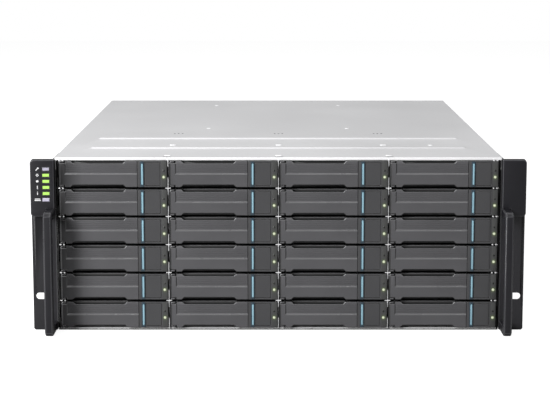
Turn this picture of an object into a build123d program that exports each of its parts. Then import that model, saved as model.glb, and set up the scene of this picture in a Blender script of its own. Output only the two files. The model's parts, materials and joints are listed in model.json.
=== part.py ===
"""Rack storage array, 4U high, with twenty-four drive trays, two controllers and two power modules.

X runs to the right as seen from the front, Y runs rearwards and Z up, in millimetres.
The origin is under the middle of the array, on the plane that it stands on.
"""
from build123d import *
import os

# Rack and sheet-metal body
PANEL_WIDTH = 482.6
EAR_WIDTH = 23.3
BODY_HEIGHT = 172.0
BODY_DEPTH = 520.0
SHEET = 1.2
SEAM = 0.1
REAR_REACH = 22.0
ROUND_SIDES = 10
HEX_SIDES = 6

# Drive bays
COLUMNS = 4
ROWS = 6
CAGE_MARGIN = 3.0
CAGE_SHEET = 0.8
LEDGE_WIDTH = 2.2
RUNNING_GAP = 0.3

# Drive tray and its bezel
COLUMN_GAP = 1.6
ROW_GAP = 2.4
BEZEL_PROUD = 3.0
BEZEL_DEPTH = 9.0
RAIL_INSET = 0.15
RAIL_WALL = 2.0
RAIL_DROP = 6.0
RAIL_LENGTH = 160.0
PILLAR_WIDTH = 29.3
LEVER_THICKNESS = 4.6
LEVER_PIN_RADIUS = 0.8
LEVER_EAR = 1.6
STEP_DEPTH = 0.6
NOTCH_DEPTH = 2.4
NOTCH_START = 12.0
NOTCH_END = 11.1
BUTTON_WIDTH = 15.0
BUTTON_MARGIN = 1.8
BUTTON_DEPTH = 3.4
BUTTON_TRAVEL = 1.5
BUTTON_INSET = 6.9
LAMP_INSET = 3.7
LAMP_SIZE = 2.2
LAMP_DROP = 15.4
DRIVE_ROOM = 1.9
DRIVE_LENGTH = 147.0
DRIVE_SETBACK = 16.0

# Backplane
CONNECTOR_LENGTH = 9.0
CONNECTOR_WIDTH = 40.0
CONNECTOR_HEIGHT = 5.5
BOARD = 2.4

# Ears, covers and handles
EAR_DROP = 1.6
EAR_SHEET = 2.0
EAR_LEG = 42.0
RACK_SLOT_INSET = 8.75
RACK_SLOT_LENGTH = 12.0
RACK_SLOT_RADIUS = 3.3
RACK_SLOT_DROP = 34.8
RACK_SLOT_SPACING = 101.6
COVER_HEIGHT = 55.9
COVER_DEPTH = 6.0
COVER_WALL = 1.5
COVER_RADIUS = 3.5
COVER_EDGE = 0.6
HANDLE_WIDTH = 8.2
HANDLE_REACH = 30.0
HANDLE_BAR = 7.5
HANDLE_POST = 8.5
HANDLE_BOTTOM = 0.5
HANDLE_DROP = 48.2
HANDLE_BEVEL = 3.5

# Status panel
LENS_WIDTH = 6.9
LENS_HEIGHT = 3.5
LENS_PITCH = 6.0
LENS_COUNT = 5
LENS_DROP = 9.1
LENS_OFFSET = 3.75
LENS_EDGE = 0.3
SERVICE_TRAVEL = 0.8

# Rear modules
MODULE_GAP = 0.5
CONTROLLER_SHARE = 0.363
MODULE_DEPTH = 210.0
FAN_SHARE = 0.2244
FAN_RADIUS = 38.0
FAN_DEPTH = 26.0
HUB_RADIUS = 14.0
BLADE_COUNT = 7
AXLE_RADIUS = 2.0
AXLE_FIT = 0.05
GRILLE_BAR = 2.0
GRILLE_PITCH = 9.0
GRILLE_COUNT = 5

# Sizes and places worked out from the sizes above
BODY_WIDTH = PANEL_WIDTH - 2 * EAR_WIDTH
FRONT_Y = -(BODY_DEPTH + REAR_REACH - HANDLE_REACH) / 2
REAR_Y = FRONT_Y + BODY_DEPTH
PAN_HALF = BODY_WIDTH / 2 - SHEET - SEAM
TOP_Z = BODY_HEIGHT - SHEET
BAYS_BOTTOM = SHEET + CAGE_SHEET
BAYS_TOP = TOP_Z - CAGE_SHEET
BAY_WIDTH = (BODY_WIDTH - 2 * CAGE_MARGIN) / COLUMNS
BAY_HEIGHT = (BAYS_TOP - BAYS_BOTTOM) / ROWS
BEZEL_WIDTH = BAY_WIDTH - COLUMN_GAP
BEZEL_HEIGHT = BAY_HEIGHT - ROW_GAP
CARRIER_WIDTH = BEZEL_WIDTH - 2 * RAIL_INSET
RAIL_HEIGHT = BAY_HEIGHT - RAIL_DROP
LEVER_LENGTH = BEZEL_WIDTH - PILLAR_WIDTH
NOTCH_LENGTH = LEVER_LENGTH - NOTCH_START - NOTCH_END
BUTTON_HEIGHT = BEZEL_HEIGHT - 2 * BUTTON_MARGIN
DRIVE_WIDTH = CARRIER_WIDTH - 2 * RAIL_WALL
DRIVE_HEIGHT = BAY_HEIGHT - DRIVE_ROOM
EAR_HEIGHT = BODY_HEIGHT - EAR_DROP
RACK_SPACING = PANEL_WIDTH - 2 * RACK_SLOT_INSET
RACK_SLOT_Z = (EAR_HEIGHT - RACK_SLOT_DROP - RACK_SLOT_SPACING, EAR_HEIGHT - RACK_SLOT_DROP)
COVER_BOTTOM = EAR_HEIGHT - COVER_HEIGHT
HANDLE_TOP = EAR_HEIGHT - HANDLE_DROP
CONTROLLER_HEIGHT = TOP_Z * CONTROLLER_SHARE
DRIVE_FRONT = FRONT_Y + DRIVE_SETBACK
DRIVE_REAR = DRIVE_FRONT + DRIVE_LENGTH
BOARD_FRONT = DRIVE_REAR + RUNNING_GAP + CONNECTOR_LENGTH
BOARD_REAR = BOARD_FRONT + BOARD
BEZEL_FRONT = FRONT_Y - BEZEL_PROUD
BEZEL_REAR = BEZEL_FRONT + BEZEL_DEPTH
LEVER_REAR = BEZEL_FRONT + LEVER_THICKNESS
MODULE_REAR = REAR_Y
MODULE_FRONT = MODULE_REAR - MODULE_DEPTH
SHELF_Z = TOP_Z - CONTROLLER_HEIGHT - 2 * MODULE_GAP - SHEET
COLUMN_CENTRES = [(i - (COLUMNS - 1) / 2) * BAY_WIDTH for i in range(COLUMNS)]
COLUMN_EDGES = [(i - COLUMNS / 2) * BAY_WIDTH for i in range(COLUMNS + 1)]
ROW_EDGES = [BAYS_BOTTOM + i * BAY_HEIGHT for i in range(ROWS + 1)]
ROW_BOTTOMS = ROW_EDGES[:ROWS][::-1]

finished = []


def front(y):
    """A plane facing the front at depth y, with X and Z in it: a negative extrusion runs rearwards."""
    return Plane.XZ.offset(-y)


def keep(part, label):
    """Label a finished piece and remember it for the export."""
    part.label = label
    finished.append(part)


# Chassis pan: floor, two sides and a rear wall with the module openings, folded from one sheet
side_height = TOP_Z - SEAM
power_height = SHELF_Z - SHEET - 2 * MODULE_GAP
module_width = PAN_HALF - SHEET - SHEET / 2 - 2 * MODULE_GAP
module_x = SHEET / 2 + MODULE_GAP + module_width / 2
controller_z = SHELF_Z + SHEET + MODULE_GAP
power_z = SHEET + MODULE_GAP
VENT_SETBACK = 50.0
VENT_WIDTH = 5.0
VENT_LENGTH = 80.0
VENT_PITCH = 12.0
VENT_COLUMNS = 5

with BuildPart() as chassis_pan:
    with BuildSketch(front(FRONT_Y)):
        with Locations((0, side_height / 2)):
            Rectangle(2 * PAN_HALF, side_height)
        with Locations((0, SHEET + side_height / 2)):
            Rectangle(2 * (PAN_HALF - SHEET), side_height, mode=Mode.SUBTRACT)
    extrude(amount=-BODY_DEPTH)
    with BuildSketch(Plane.YZ.offset(-PAN_HALF)):
        with Locations((BOARD_REAR + VENT_SETBACK, BODY_HEIGHT / 2)):
            with GridLocations(VENT_PITCH, VENT_LENGTH, VENT_COLUMNS, 1):
                Rectangle(VENT_WIDTH, VENT_LENGTH)
    extrude(amount=2 * PAN_HALF, mode=Mode.SUBTRACT)
keep(chassis_pan.part, "chassis_pan")

# Top cover: a flat sheet with a hemmed front edge, two pressed beads and side flanges over the pan
BEAD_MARGIN = 27.0
BEAD_WIDTH = 8.0
BEAD_HEIGHT = 1.3
BEAD_POINT = 2.5
BEAD_SLOPE = 55
BEAD_SETBACKS = (66.0, 139.0)
FLANGE_DROP = 12.0
SCREW_RADIUS = 2.6
SIDE_SCREWS = (0.25, 0.75)
side_screws = [FRONT_Y + BODY_DEPTH * share for share in SIDE_SCREWS]
screw_z = TOP_Z - FLANGE_DROP / 2
with BuildSketch() as bead_outline:
    Rectangle(BODY_WIDTH - 2 * BEAD_MARGIN, BEAD_WIDTH)
    chamfer(bead_outline.vertices(), BEAD_POINT)
with BuildPart() as top_cover:
    with BuildSketch(front(FRONT_Y)):
        with Locations((0, BODY_HEIGHT - FLANGE_DROP / 2)):
            Rectangle(BODY_WIDTH, FLANGE_DROP)
        with Locations((0, TOP_Z - FLANGE_DROP / 2)):
            Rectangle(BODY_WIDTH - 2 * SHEET, FLANGE_DROP, mode=Mode.SUBTRACT)
    extrude(amount=-BODY_DEPTH)
    with BuildSketch(Plane.XY.offset(BODY_HEIGHT)):
        for setback in BEAD_SETBACKS:
            with Locations((0, FRONT_Y + setback)):
                add(bead_outline.sketch)
    extrude(amount=BEAD_HEIGHT, taper=BEAD_SLOPE)
    with BuildSketch(Plane.YZ.offset(-BODY_WIDTH / 2)):
        for y in side_screws:
            with Locations((y, screw_z)):
                RegularPolygon(SCREW_RADIUS / 2 + SEAM, ROUND_SIDES)
    extrude(amount=BODY_WIDTH, mode=Mode.SUBTRACT)
keep(top_cover.part, "top_cover")

# Cover screws: hexagon heads on the flanges and shanks down to the pan's sides, all alike
SCREW_HEAD = 1.2
with BuildPart() as cover_screws:
    for side in (-1, 1):
        for y in side_screws:
            head = Plane((side * BODY_WIDTH / 2, y, screw_z), z_dir=(side, 0, 0))
            with BuildSketch(head):
                RegularPolygon(SCREW_RADIUS, HEX_SIDES)
            extrude(amount=SCREW_HEAD)
            with BuildSketch(head):
                RegularPolygon(SCREW_RADIUS / 2, ROUND_SIDES)
            extrude(amount=-SHEET)
keep(cover_screws.part, "cover_screws")

# Drive cage: a floor and a roof sheet with five upright walls between them.
# The walls' front edges are cut back between tabs that stand in the crossings of the gaps between bezels.
CAGE_CLEARANCE = 1.0
CUT_HEIGHT = 11.0
TAB_RISE = 2.0
TAB_SETBACK = 1.0
TAB_STEP = 9.0
tab_front = BEZEL_FRONT + TAB_SETBACK
cage_rear = BOARD_FRONT - CAGE_CLEARANCE
cage_half = COLUMNS * BAY_WIDTH / 2 + CAGE_SHEET / 2


def group(parts, place=Location()):
    """Several solids of one node, moved together to where they belong."""
    solids = [solid.moved(place) for part in parts for solid in part.solids()]
    return Compound(solids)


def cage_sheet(z):
    """The floor or the roof sheet of the cage, centred on the level z."""
    with BuildPart() as sheet:
        with BuildSketch(Plane.XY.offset(z - CAGE_SHEET / 2)):
            with Locations((0, (FRONT_Y + cage_rear) / 2)):
                Rectangle(2 * cage_half, cage_rear - FRONT_Y)
        extrude(amount=CAGE_SHEET)
    return sheet.part


def cage_wall(x):
    """One upright wall, centred on x, with its six tabs."""
    with BuildPart() as wall:
        with BuildSketch(Plane.YZ.offset(x - CAGE_SHEET / 2)):
            with Locations(((tab_front + cage_rear) / 2, (BAYS_BOTTOM + BAYS_TOP) / 2)):
                Rectangle(cage_rear - tab_front, BAYS_TOP - BAYS_BOTTOM)
            for z in ROW_BOTTOMS:
                with Locations((tab_front + TAB_STEP / 2, z + BAY_HEIGHT / 2 + TAB_RISE)):
                    Rectangle(TAB_STEP, CUT_HEIGHT, mode=Mode.SUBTRACT)
        extrude(amount=CAGE_SHEET)
    return wall.part


cage_sheets = [cage_sheet(z) for z in (BAYS_BOTTOM - CAGE_SHEET / 2, BAYS_TOP + CAGE_SHEET / 2)]
cage_walls = [cage_wall(x) for x in COLUMN_EDGES]
keep(group(cage_sheets + cage_walls), "drive_cage")

# Tray guides: a strip on each side of every bay above the lowest row, on which the trays' rails run
guide_sides = [(x, side) for x in COLUMN_EDGES for side in (-1, 1) if abs(x + side) < cage_half]
with BuildPart() as tray_guides:
    with BuildSketch(front(tab_front)):
        for x, side in guide_sides:
            for z in ROW_EDGES[1:ROWS]:
                with Locations((x + side * (CAGE_SHEET + LEDGE_WIDTH) / 2, z)):
                    Rectangle(LEDGE_WIDTH, CAGE_SHEET)
    extrude(amount=-(cage_rear - tab_front))
keep(tray_guides.part, "tray_guides")

# Backplane: one board across the pan, with an air slot behind every second row of bays
BOARD_INSET = 0.4
AIR_SLOT_MARGIN = 15.75
AIR_SLOT_START = 14.0
AIR_SLOT_END = 3.0
air_slot_width = BAY_WIDTH - 2 * AIR_SLOT_MARGIN
air_slot_height = BAY_HEIGHT - AIR_SLOT_START - AIR_SLOT_END
with BuildPart() as backplane_board:
    with BuildSketch(front(BOARD_FRONT)):
        with Locations((0, (SHEET + TOP_Z) / 2)):
            Rectangle(2 * (PAN_HALF - SHEET - BOARD_INSET), TOP_Z - SHEET - 2 * SEAM)
        for x in COLUMN_CENTRES:
            for z in ROW_BOTTOMS[::2]:
                with Locations((x, z + AIR_SLOT_START + air_slot_height / 2)):
                    Rectangle(air_slot_width, air_slot_height, mode=Mode.SUBTRACT)
    extrude(amount=-BOARD)
keep(backplane_board.part, "backplane_board")

# Drive connectors: one plug per bay on the front of the backplane, reaching to the drive's rear
CONNECTOR_OFFSET = 18.0
CONNECTOR_LEVEL = 7.0
with BuildPart() as drive_connectors:
    with BuildSketch(front(BOARD_FRONT)):
        for x in COLUMN_CENTRES:
            for z in ROW_BOTTOMS:
                with Locations((x + CONNECTOR_OFFSET, z + CONNECTOR_LEVEL)):
                    Rectangle(CONNECTOR_WIDTH, CONNECTOR_HEIGHT)
    extrude(amount=CONNECTOR_LENGTH)
keep(drive_connectors.part, "drive_connectors")

# Module bay: a shelf and a middle wall that divide the rear of the pan into four openings
MODULE_BAY_LEAD = 6.0
module_bay_front = MODULE_FRONT - MODULE_BAY_LEAD
with BuildPart() as module_bay:
    with BuildSketch(front(module_bay_front)):
        with Locations((0, SHELF_Z + SHEET / 2)):
            Rectangle(2 * (PAN_HALF - SHEET), SHEET)
        with Locations((0, (SHEET + TOP_Z - SEAM) / 2)):
            Rectangle(SHEET, TOP_Z - SHEET - SEAM)
    extrude(amount=-(MODULE_REAR - module_bay_front))
keep(module_bay.part, "module_bay")


# Rack ears: an angle on each side, with obround slots at the rack's own spacing
ear_inner = BODY_WIDTH / 2
handle_x = ear_inner + HANDLE_WIDTH / 2
handle_screw_z = (HANDLE_BOTTOM + HANDLE_POST / 2, HANDLE_TOP - HANDLE_POST / 2)
HANDLE_SCREW_RADIUS = 2.0
HANDLE_SCREW_HEAD = 2.8
HANDLE_SCREW_OFFSET = 0.9
EAR_CORNER = 1.5
screw_x = handle_x + HANDLE_SCREW_OFFSET


def ear_bracket(side):
    """One sheet angle: the flange with the rack slots, and a leg along the body's side."""
    with BuildPart() as ear:
        with BuildSketch(front(FRONT_Y)):
            with Locations((side * (ear_inner + PANEL_WIDTH / 2) / 2, EAR_HEIGHT / 2)):
                Rectangle(PANEL_WIDTH / 2 - ear_inner, EAR_HEIGHT)
            for z in RACK_SLOT_Z:
                with Locations((side * RACK_SPACING / 2, z)):
                    SlotOverall(RACK_SLOT_LENGTH, 2 * RACK_SLOT_RADIUS, mode=Mode.SUBTRACT)
            for z in handle_screw_z:
                with Locations((side * screw_x, z)):
                    RegularPolygon(HANDLE_SCREW_RADIUS, ROUND_SIDES, mode=Mode.SUBTRACT)
        extrude(amount=-EAR_SHEET)
        corners = ear.edges().filter_by(Axis.Y).group_by(Axis.X)[0 if side < 0 else -1]
        chamfer(corners, EAR_CORNER)
        with BuildSketch(front(FRONT_Y)):
            with Locations((side * (ear_inner + EAR_SHEET / 2), EAR_HEIGHT / 2)):
                Rectangle(EAR_SHEET, EAR_HEIGHT)
        extrude(amount=-EAR_LEG)
    return ear.part


keep(ear_bracket(-1), "left_ear_bracket")
keep(ear_bracket(1), "right_ear_bracket")

# Ear covers: thin moulded shells over the upper part of the ears, notched round the handle's upper post
cover_front = FRONT_Y - COVER_DEPTH
cover_half = PANEL_WIDTH / 2
notch_outer = handle_x + HANDLE_WIDTH / 2 + RUNNING_GAP
notch_top = HANDLE_TOP + RUNNING_GAP
lens_x = -(cover_half + ear_inner) / 2 + LENS_OFFSET
lens_levels = [EAR_HEIGHT - LENS_DROP - i * LENS_PITCH for i in range(LENS_COUNT + 1)]


def ear_cover(side, windows):
    """One moulded shell, open at the back, with a rounded outer edge and any lamp windows."""
    middle = side * (ear_inner + cover_half) / 2
    width = cover_half - ear_inner
    with BuildPart() as cover:
        with BuildSketch(front(FRONT_Y)):
            with Locations((middle, COVER_BOTTOM + COVER_HEIGHT / 2)):
                Rectangle(width, COVER_HEIGHT)
        extrude(amount=COVER_DEPTH)
        outer = cover.edges().filter_by(Axis.Y).group_by(Axis.X)[0 if side < 0 else -1]
        fillet(outer, COVER_RADIUS)
        chamfer(cover.faces().sort_by(Axis.Y)[0].edges(), COVER_EDGE)
        with BuildSketch(front(FRONT_Y)):
            with Locations((middle, COVER_BOTTOM + COVER_HEIGHT / 2)):
                Rectangle(width - 2 * COVER_WALL, COVER_HEIGHT - 2 * COVER_WALL)
        extrude(amount=COVER_DEPTH - COVER_WALL, mode=Mode.SUBTRACT)
        with BuildSketch(front(FRONT_Y)):
            with Locations((side * (ear_inner + notch_outer) / 2, (COVER_BOTTOM + notch_top) / 2)):
                Rectangle(notch_outer - ear_inner + SEAM, notch_top - COVER_BOTTOM + SEAM)
        extrude(amount=COVER_DEPTH, mode=Mode.SUBTRACT)
        if windows:
            with BuildSketch(front(cover_front)):
                for z in lens_levels:
                    with Locations((lens_x, z)):
                        Rectangle(LENS_WIDTH + 2 * SEAM, LENS_HEIGHT + 2 * SEAM)
            extrude(amount=-COVER_WALL, mode=Mode.SUBTRACT)
    return cover.part


keep(ear_cover(-1, True), "left_ear_cover")
keep(ear_cover(1, False), "right_ear_cover")

# Status panel: a small board on the ear, five lamp lenses and the sprung service button
STATUS_MARGIN = 2.0
STATUS_GAP = 2.0
status_board_width = cover_half - ear_inner - 2 * COVER_WALL - 2 * RUNNING_GAP
status_board_height = lens_levels[0] - lens_levels[-1] + LENS_HEIGHT + 2 * STATUS_MARGIN
status_board_front = cover_front + COVER_WALL + STATUS_GAP
with BuildPart() as status_board:
    with BuildSketch(front(status_board_front)):
        with Locations((-(cover_half + ear_inner) / 2, (lens_levels[0] + lens_levels[-1]) / 2)):
            Rectangle(status_board_width, status_board_height)
    extrude(amount=-(FRONT_Y - status_board_front))
keep(status_board.part, "status_board")

with BuildPart() as indicator_lenses:
    with BuildSketch(front(status_board_front)):
        for z in lens_levels[:-1]:
            with Locations((lens_x, z)):
                Rectangle(LENS_WIDTH, LENS_HEIGHT)
    extrude(amount=status_board_front - cover_front)
    chamfer(indicator_lenses.faces().group_by(Axis.Y)[0].edges(), LENS_EDGE)
keep(indicator_lenses.part, "indicator_lenses")

button_proud = SERVICE_TRAVEL
with BuildPart() as service_button:
    with BuildSketch(front(status_board_front - SERVICE_TRAVEL - SEAM)):
        with Locations((lens_x, lens_levels[-1])):
            Rectangle(LENS_WIDTH - 2 * SEAM, LENS_HEIGHT - 2 * SEAM)
    extrude(amount=status_board_front - SERVICE_TRAVEL - SEAM - cover_front + button_proud)
    chamfer(service_button.faces().sort_by(Axis.Y)[0].edges(), LENS_EDGE)
keep(service_button.part, "service_button")


# Pull handles: a square loop on each ear, with bevelled corners and room for the fingers behind the bar
HANDLE_EDGE = 1.0


def pull_handle(side):
    """The loop is drawn from the side, in Y and Z, and given its width across the ear."""
    height = HANDLE_TOP - HANDLE_BOTTOM
    with BuildPart() as handle:
        with BuildSketch(Plane.YZ.offset(side * handle_x)):
            with Locations((FRONT_Y - HANDLE_REACH / 2, HANDLE_BOTTOM + height / 2)):
                Rectangle(HANDLE_REACH, height)
        extrude(amount=HANDLE_WIDTH / 2, both=True)
        chamfer(handle.edges().filter_by(Axis.X).group_by(Axis.Y)[0], HANDLE_BEVEL)
        chamfer(handle.faces().filter_by(Axis.X).edges(), HANDLE_EDGE)
        with BuildSketch(Plane.YZ.offset(side * handle_x)):
            with Locations((FRONT_Y - (HANDLE_REACH - HANDLE_BAR) / 2, HANDLE_BOTTOM + height / 2)):
                Rectangle(HANDLE_REACH - HANDLE_BAR, height - 2 * HANDLE_POST)
        extrude(amount=HANDLE_WIDTH, both=True, mode=Mode.SUBTRACT)
    return handle.part


keep(pull_handle(-1), "left_handle")
keep(pull_handle(1), "right_handle")

# Handle screws: two per handle, from behind the ear's flange
with BuildPart() as handle_screws:
    for x in (-screw_x, screw_x):
        for z in handle_screw_z:
            with BuildSketch(front(FRONT_Y + EAR_SHEET)):
                with Locations((x, z)):
                    RegularPolygon(HANDLE_SCREW_RADIUS - SEAM, ROUND_SIDES)
            extrude(amount=EAR_SHEET)
            with BuildSketch(front(FRONT_Y + EAR_SHEET)):
                with Locations((x, z)):
                    RegularPolygon(HANDLE_SCREW_HEAD, HEX_SIDES)
            extrude(amount=-SCREW_HEAD)
keep(handle_screws.part, "handle_screws")


# Drive tray, drawn for the bottom left bay's corner at X = 0 and Z = 0 and then moved to each bay
bezel_x = (BAY_WIDTH - BEZEL_WIDTH) / 2
bezel_z = (BAY_HEIGHT - BEZEL_HEIGHT) / 2
bezel_middle = bezel_z + BEZEL_HEIGHT / 2
bay_middle = BAY_WIDTH / 2
lever_start = bezel_x + RUNNING_GAP
lever_end = lever_start + LEVER_LENGTH
lever_slot_end = lever_end + RUNNING_GAP
hinge_x = lever_start + LEVER_THICKNESS / 2
hinge_y = BEZEL_FRONT + LEVER_THICKNESS / 2
EAR_LENGTH = 5.4
KNUCKLE_GAP = 1.1
plate_front = LEVER_REAR + RUNNING_GAP
notch_start = bezel_x + NOTCH_START
HOOK_SETBACK = 8.6
HOOK_LENGTH = 4.6
HOOK_HEIGHT = 8.0
HOOK_REACH = 3.6
HOOK_ROOM = 2.0
HOOK_SLOPE = 8
KNUCKLE_CHAMFER = 1.6
CORNER = 2.0
STRAP_HEIGHT = 4.0
hook_x = bezel_x + LEVER_LENGTH - HOOK_SETBACK + HOOK_LENGTH / 2
rail_bottom = CAGE_SHEET / 2 + RUNNING_GAP
button_x = bezel_x + BEZEL_WIDTH - BUTTON_INSET - BUTTON_WIDTH / 2
BUTTON_SETBACK = 0.2
button_front = BEZEL_FRONT + BUTTON_SETBACK
button_pocket = button_front + BUTTON_DEPTH + BUTTON_TRAVEL + RUNNING_GAP
lamp_x = bezel_x + BEZEL_WIDTH - LAMP_INSET
lamp_z = bezel_z + BEZEL_HEIGHT - LAMP_DROP
LAMP_DEPTH = 2.0


def notch_cutter():
    """The two finger notches, at the lever's upper and lower edge, as one cutter right through it."""
    with BuildPart() as cutter:
        with BuildSketch(front(BEZEL_FRONT)):
            for edge, inwards in ((bezel_z + BEZEL_HEIGHT, -1), (bezel_z, 1)):
                with BuildLine():
                    Polyline(
                        (notch_start, edge - inwards * SEAM),
                        (notch_start + NOTCH_DEPTH, edge + inwards * NOTCH_DEPTH),
                        (notch_start + NOTCH_LENGTH - NOTCH_DEPTH, edge + inwards * NOTCH_DEPTH),
                        (notch_start + NOTCH_LENGTH, edge - inwards * SEAM),
                        close=True,
                    )
                make_face()
        extrude(amount=-LEVER_THICKNESS - RUNNING_GAP)
    return cutter.part


def tray_carrier(opens):
    """The moulded bezel plate with its right-hand pillar, the two side rails and the rear strap."""
    with BuildPart() as carrier:
        with BuildSketch(front(BEZEL_FRONT)) as outline:
            with Locations((bay_middle, bezel_middle)):
                Rectangle(BEZEL_WIDTH, BEZEL_HEIGHT)
            chamfer(outline.vertices().group_by(Axis.X)[0], CORNER)
        extrude(amount=-BEZEL_DEPTH)
        with BuildSketch(front(BEZEL_FRONT)):
            with Locations(((bezel_x + lever_slot_end) / 2, bezel_middle)):
                Rectangle(lever_slot_end - bezel_x, BEZEL_HEIGHT - 2 * LEVER_EAR)
            with Locations(((bezel_x + EAR_LENGTH + lever_slot_end) / 2, bezel_middle)):
                Rectangle(lever_slot_end - bezel_x - EAR_LENGTH, BEZEL_HEIGHT)
        extrude(amount=-(LEVER_THICKNESS + RUNNING_GAP), mode=Mode.SUBTRACT)
        with BuildSketch(front(BEZEL_FRONT)):
            with Locations((button_x, bezel_middle)):
                Rectangle(BUTTON_WIDTH + 2 * RUNNING_GAP, BUTTON_HEIGHT + 2 * RUNNING_GAP)
        extrude(amount=-(button_pocket - BEZEL_FRONT), mode=Mode.SUBTRACT)
        with BuildSketch(front(BEZEL_FRONT)):
            with Locations((lamp_x, lamp_z)):
                Rectangle(LAMP_SIZE, LAMP_SIZE)
        extrude(amount=-LAMP_DEPTH, mode=Mode.SUBTRACT)
        if opens:
            with BuildSketch(front(plate_front)):
                with Locations((hook_x, bezel_middle)):
                    Rectangle(HOOK_LENGTH + 2 * HOOK_ROOM, HOOK_HEIGHT + HOOK_ROOM)
            extrude(amount=-BEZEL_DEPTH, mode=Mode.SUBTRACT)
            with BuildSketch(Plane.XY.offset(bezel_z)):
                with Locations((hinge_x, hinge_y)):
                    RegularPolygon(LEVER_PIN_RADIUS + AXLE_FIT, ROUND_SIDES, major_radius=False)
            extrude(amount=BEZEL_HEIGHT, mode=Mode.SUBTRACT)
        with BuildSketch(front(BEZEL_REAR)):
            for side in (-1, 1):
                rail_x = bay_middle + side * (CARRIER_WIDTH - RAIL_WALL) / 2
                with Locations((rail_x, rail_bottom + RAIL_HEIGHT / 2)):
                    Rectangle(RAIL_WALL, RAIL_HEIGHT)
        extrude(amount=-RAIL_LENGTH)
        with BuildSketch(front(BEZEL_REAR + RAIL_LENGTH)):
            with Locations((bay_middle, rail_bottom + RAIL_HEIGHT - STRAP_HEIGHT / 2)):
                Rectangle(CARRIER_WIDTH, STRAP_HEIGHT)
        extrude(amount=BEZEL_REAR + RAIL_LENGTH - DRIVE_REAR - RUNNING_GAP)
    return carrier.part


def tray_lever(opens):
    """The cam lever, its upper half set back a step; one that opens has its latch hook and pin too."""
    root_height = BEZEL_HEIGHT - 2 * LEVER_EAR - 2 * RUNNING_GAP
    main_start = bezel_x + EAR_LENGTH + KNUCKLE_GAP
    lever_notches = notch_cutter()
    with BuildPart() as lever:
        with BuildSketch(front(BEZEL_FRONT)):
            with Locations(((lever_start + lever_end) / 2, bezel_middle)):
                Rectangle(LEVER_LENGTH, root_height)
            with Locations(((main_start + lever_end) / 2, bezel_middle)):
                Rectangle(lever_end - main_start, BEZEL_HEIGHT)
        extrude(amount=-LEVER_THICKNESS)
        knuckle = lever.edges().filter_by(Axis.Z).group_by(Axis.X)[0]
        chamfer(knuckle, KNUCKLE_CHAMFER)
        with BuildSketch(Plane.YZ.offset(main_start)):
            with BuildLine():
                Polyline(
                    (BEZEL_FRONT, bezel_middle),
                    (BEZEL_FRONT + STEP_DEPTH, bezel_middle + STEP_DEPTH),
                    (BEZEL_FRONT + STEP_DEPTH, bezel_z + BEZEL_HEIGHT),
                    (BEZEL_FRONT, bezel_z + BEZEL_HEIGHT),
                    close=True,
                )
            make_face()
        extrude(amount=lever_end - main_start, mode=Mode.SUBTRACT)
        add(lever_notches, mode=Mode.SUBTRACT)
        if opens:
            with BuildSketch(front(LEVER_REAR)):
                with Locations((hook_x, bezel_middle)):
                    Rectangle(HOOK_LENGTH, HOOK_HEIGHT)
            extrude(amount=-HOOK_REACH, taper=HOOK_SLOPE)
            with BuildSketch(Plane.XY.offset(bezel_z + SEAM)):
                with Locations((hinge_x, hinge_y)):
                    RegularPolygon(LEVER_PIN_RADIUS, ROUND_SIDES)
            extrude(amount=BEZEL_HEIGHT - 2 * SEAM)
    return lever.part


def release_button():
    """The flat release button on the pillar."""
    with BuildPart() as button:
        with BuildSketch(front(button_front)):
            with Locations((button_x, bezel_middle)):
                Rectangle(BUTTON_WIDTH, BUTTON_HEIGHT)
        extrude(amount=-BUTTON_DEPTH)
    return button.part


with BuildPart() as tray_lamp:
    with BuildSketch(front(BEZEL_FRONT + LAMP_DEPTH)):
        with Locations((lamp_x, lamp_z)):
            Rectangle(LAMP_SIZE - SEAM, LAMP_SIZE - SEAM)
    extrude(amount=LAMP_DEPTH)

with BuildPart() as disk_drive:
    with BuildSketch(front(DRIVE_FRONT)):
        with Locations((bay_middle, BAY_HEIGHT / 2)):
            Rectangle(DRIVE_WIDTH, DRIVE_HEIGHT)
    extrude(amount=-DRIVE_LENGTH)

plain_tray = [tray_carrier(False), disk_drive.part, tray_lamp.part, tray_lever(False), release_button()]
open_tray = [tray_carrier(True), disk_drive.part, tray_lamp.part]
open_lever = tray_lever(True)
open_button = release_button()


for row, z in enumerate(ROW_BOTTOMS, start=1):
    for column, x in enumerate(COLUMN_EDGES[:COLUMNS], start=1):
        bay = Location((x, 0, z))
        if row == 1:
            keep(group(open_tray, bay), f"tray_r{row}_c{column}")
            keep(group([open_lever], bay), f"tray_lever_c{column}")
            keep(group([open_button], bay), f"release_button_c{column}")
        else:
            keep(group(plain_tray, bay), f"tray_r{row}_c{column}")

# Controllers: two canisters side by side, with port openings and an ejector lever hinged outboard
PORT_WIDTH = 14.2
PORT_HEIGHT = 10.0
PORT_DEPTH = 20.0
PORT_COUNT = 4
PORT_PITCH = 18.2
PORT_OFFSET = 40.0
PORT_DROP = 30.0
NETWORK_WIDTH = 16.0
NETWORK_HEIGHT = 13.0
NETWORK_OFFSET = 18.0
NETWORK_DROP = 29.0
SLIT_WIDTH = 18.0
SLIT_HEIGHT = 5.0
SLIT_DEPTH = 6.0
SLIT_COUNT = 8
SLIT_DROP = 9.0
EJECTOR_LENGTH = 120.0
EJECTOR_HEIGHT = 11.0
EJECTOR_DEPTH = 6.0
EJECTOR_LEVEL = 10.0
EJECTOR_INSET = 12.0
EJECTOR_END = 1.8
THUMB_WIDTH = 4.0
THUMB_REACH = 10.0
LUG = 3.0
LUG_WIDTH = 8.0
port_z = controller_z + CONTROLLER_HEIGHT - PORT_DROP
network_z = controller_z + CONTROLLER_HEIGHT - NETWORK_DROP
ejector_z = controller_z + EJECTOR_LEVEL
ejector_front = MODULE_REAR + RUNNING_GAP
pivot_y = ejector_front + EJECTOR_DEPTH / 2
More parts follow.
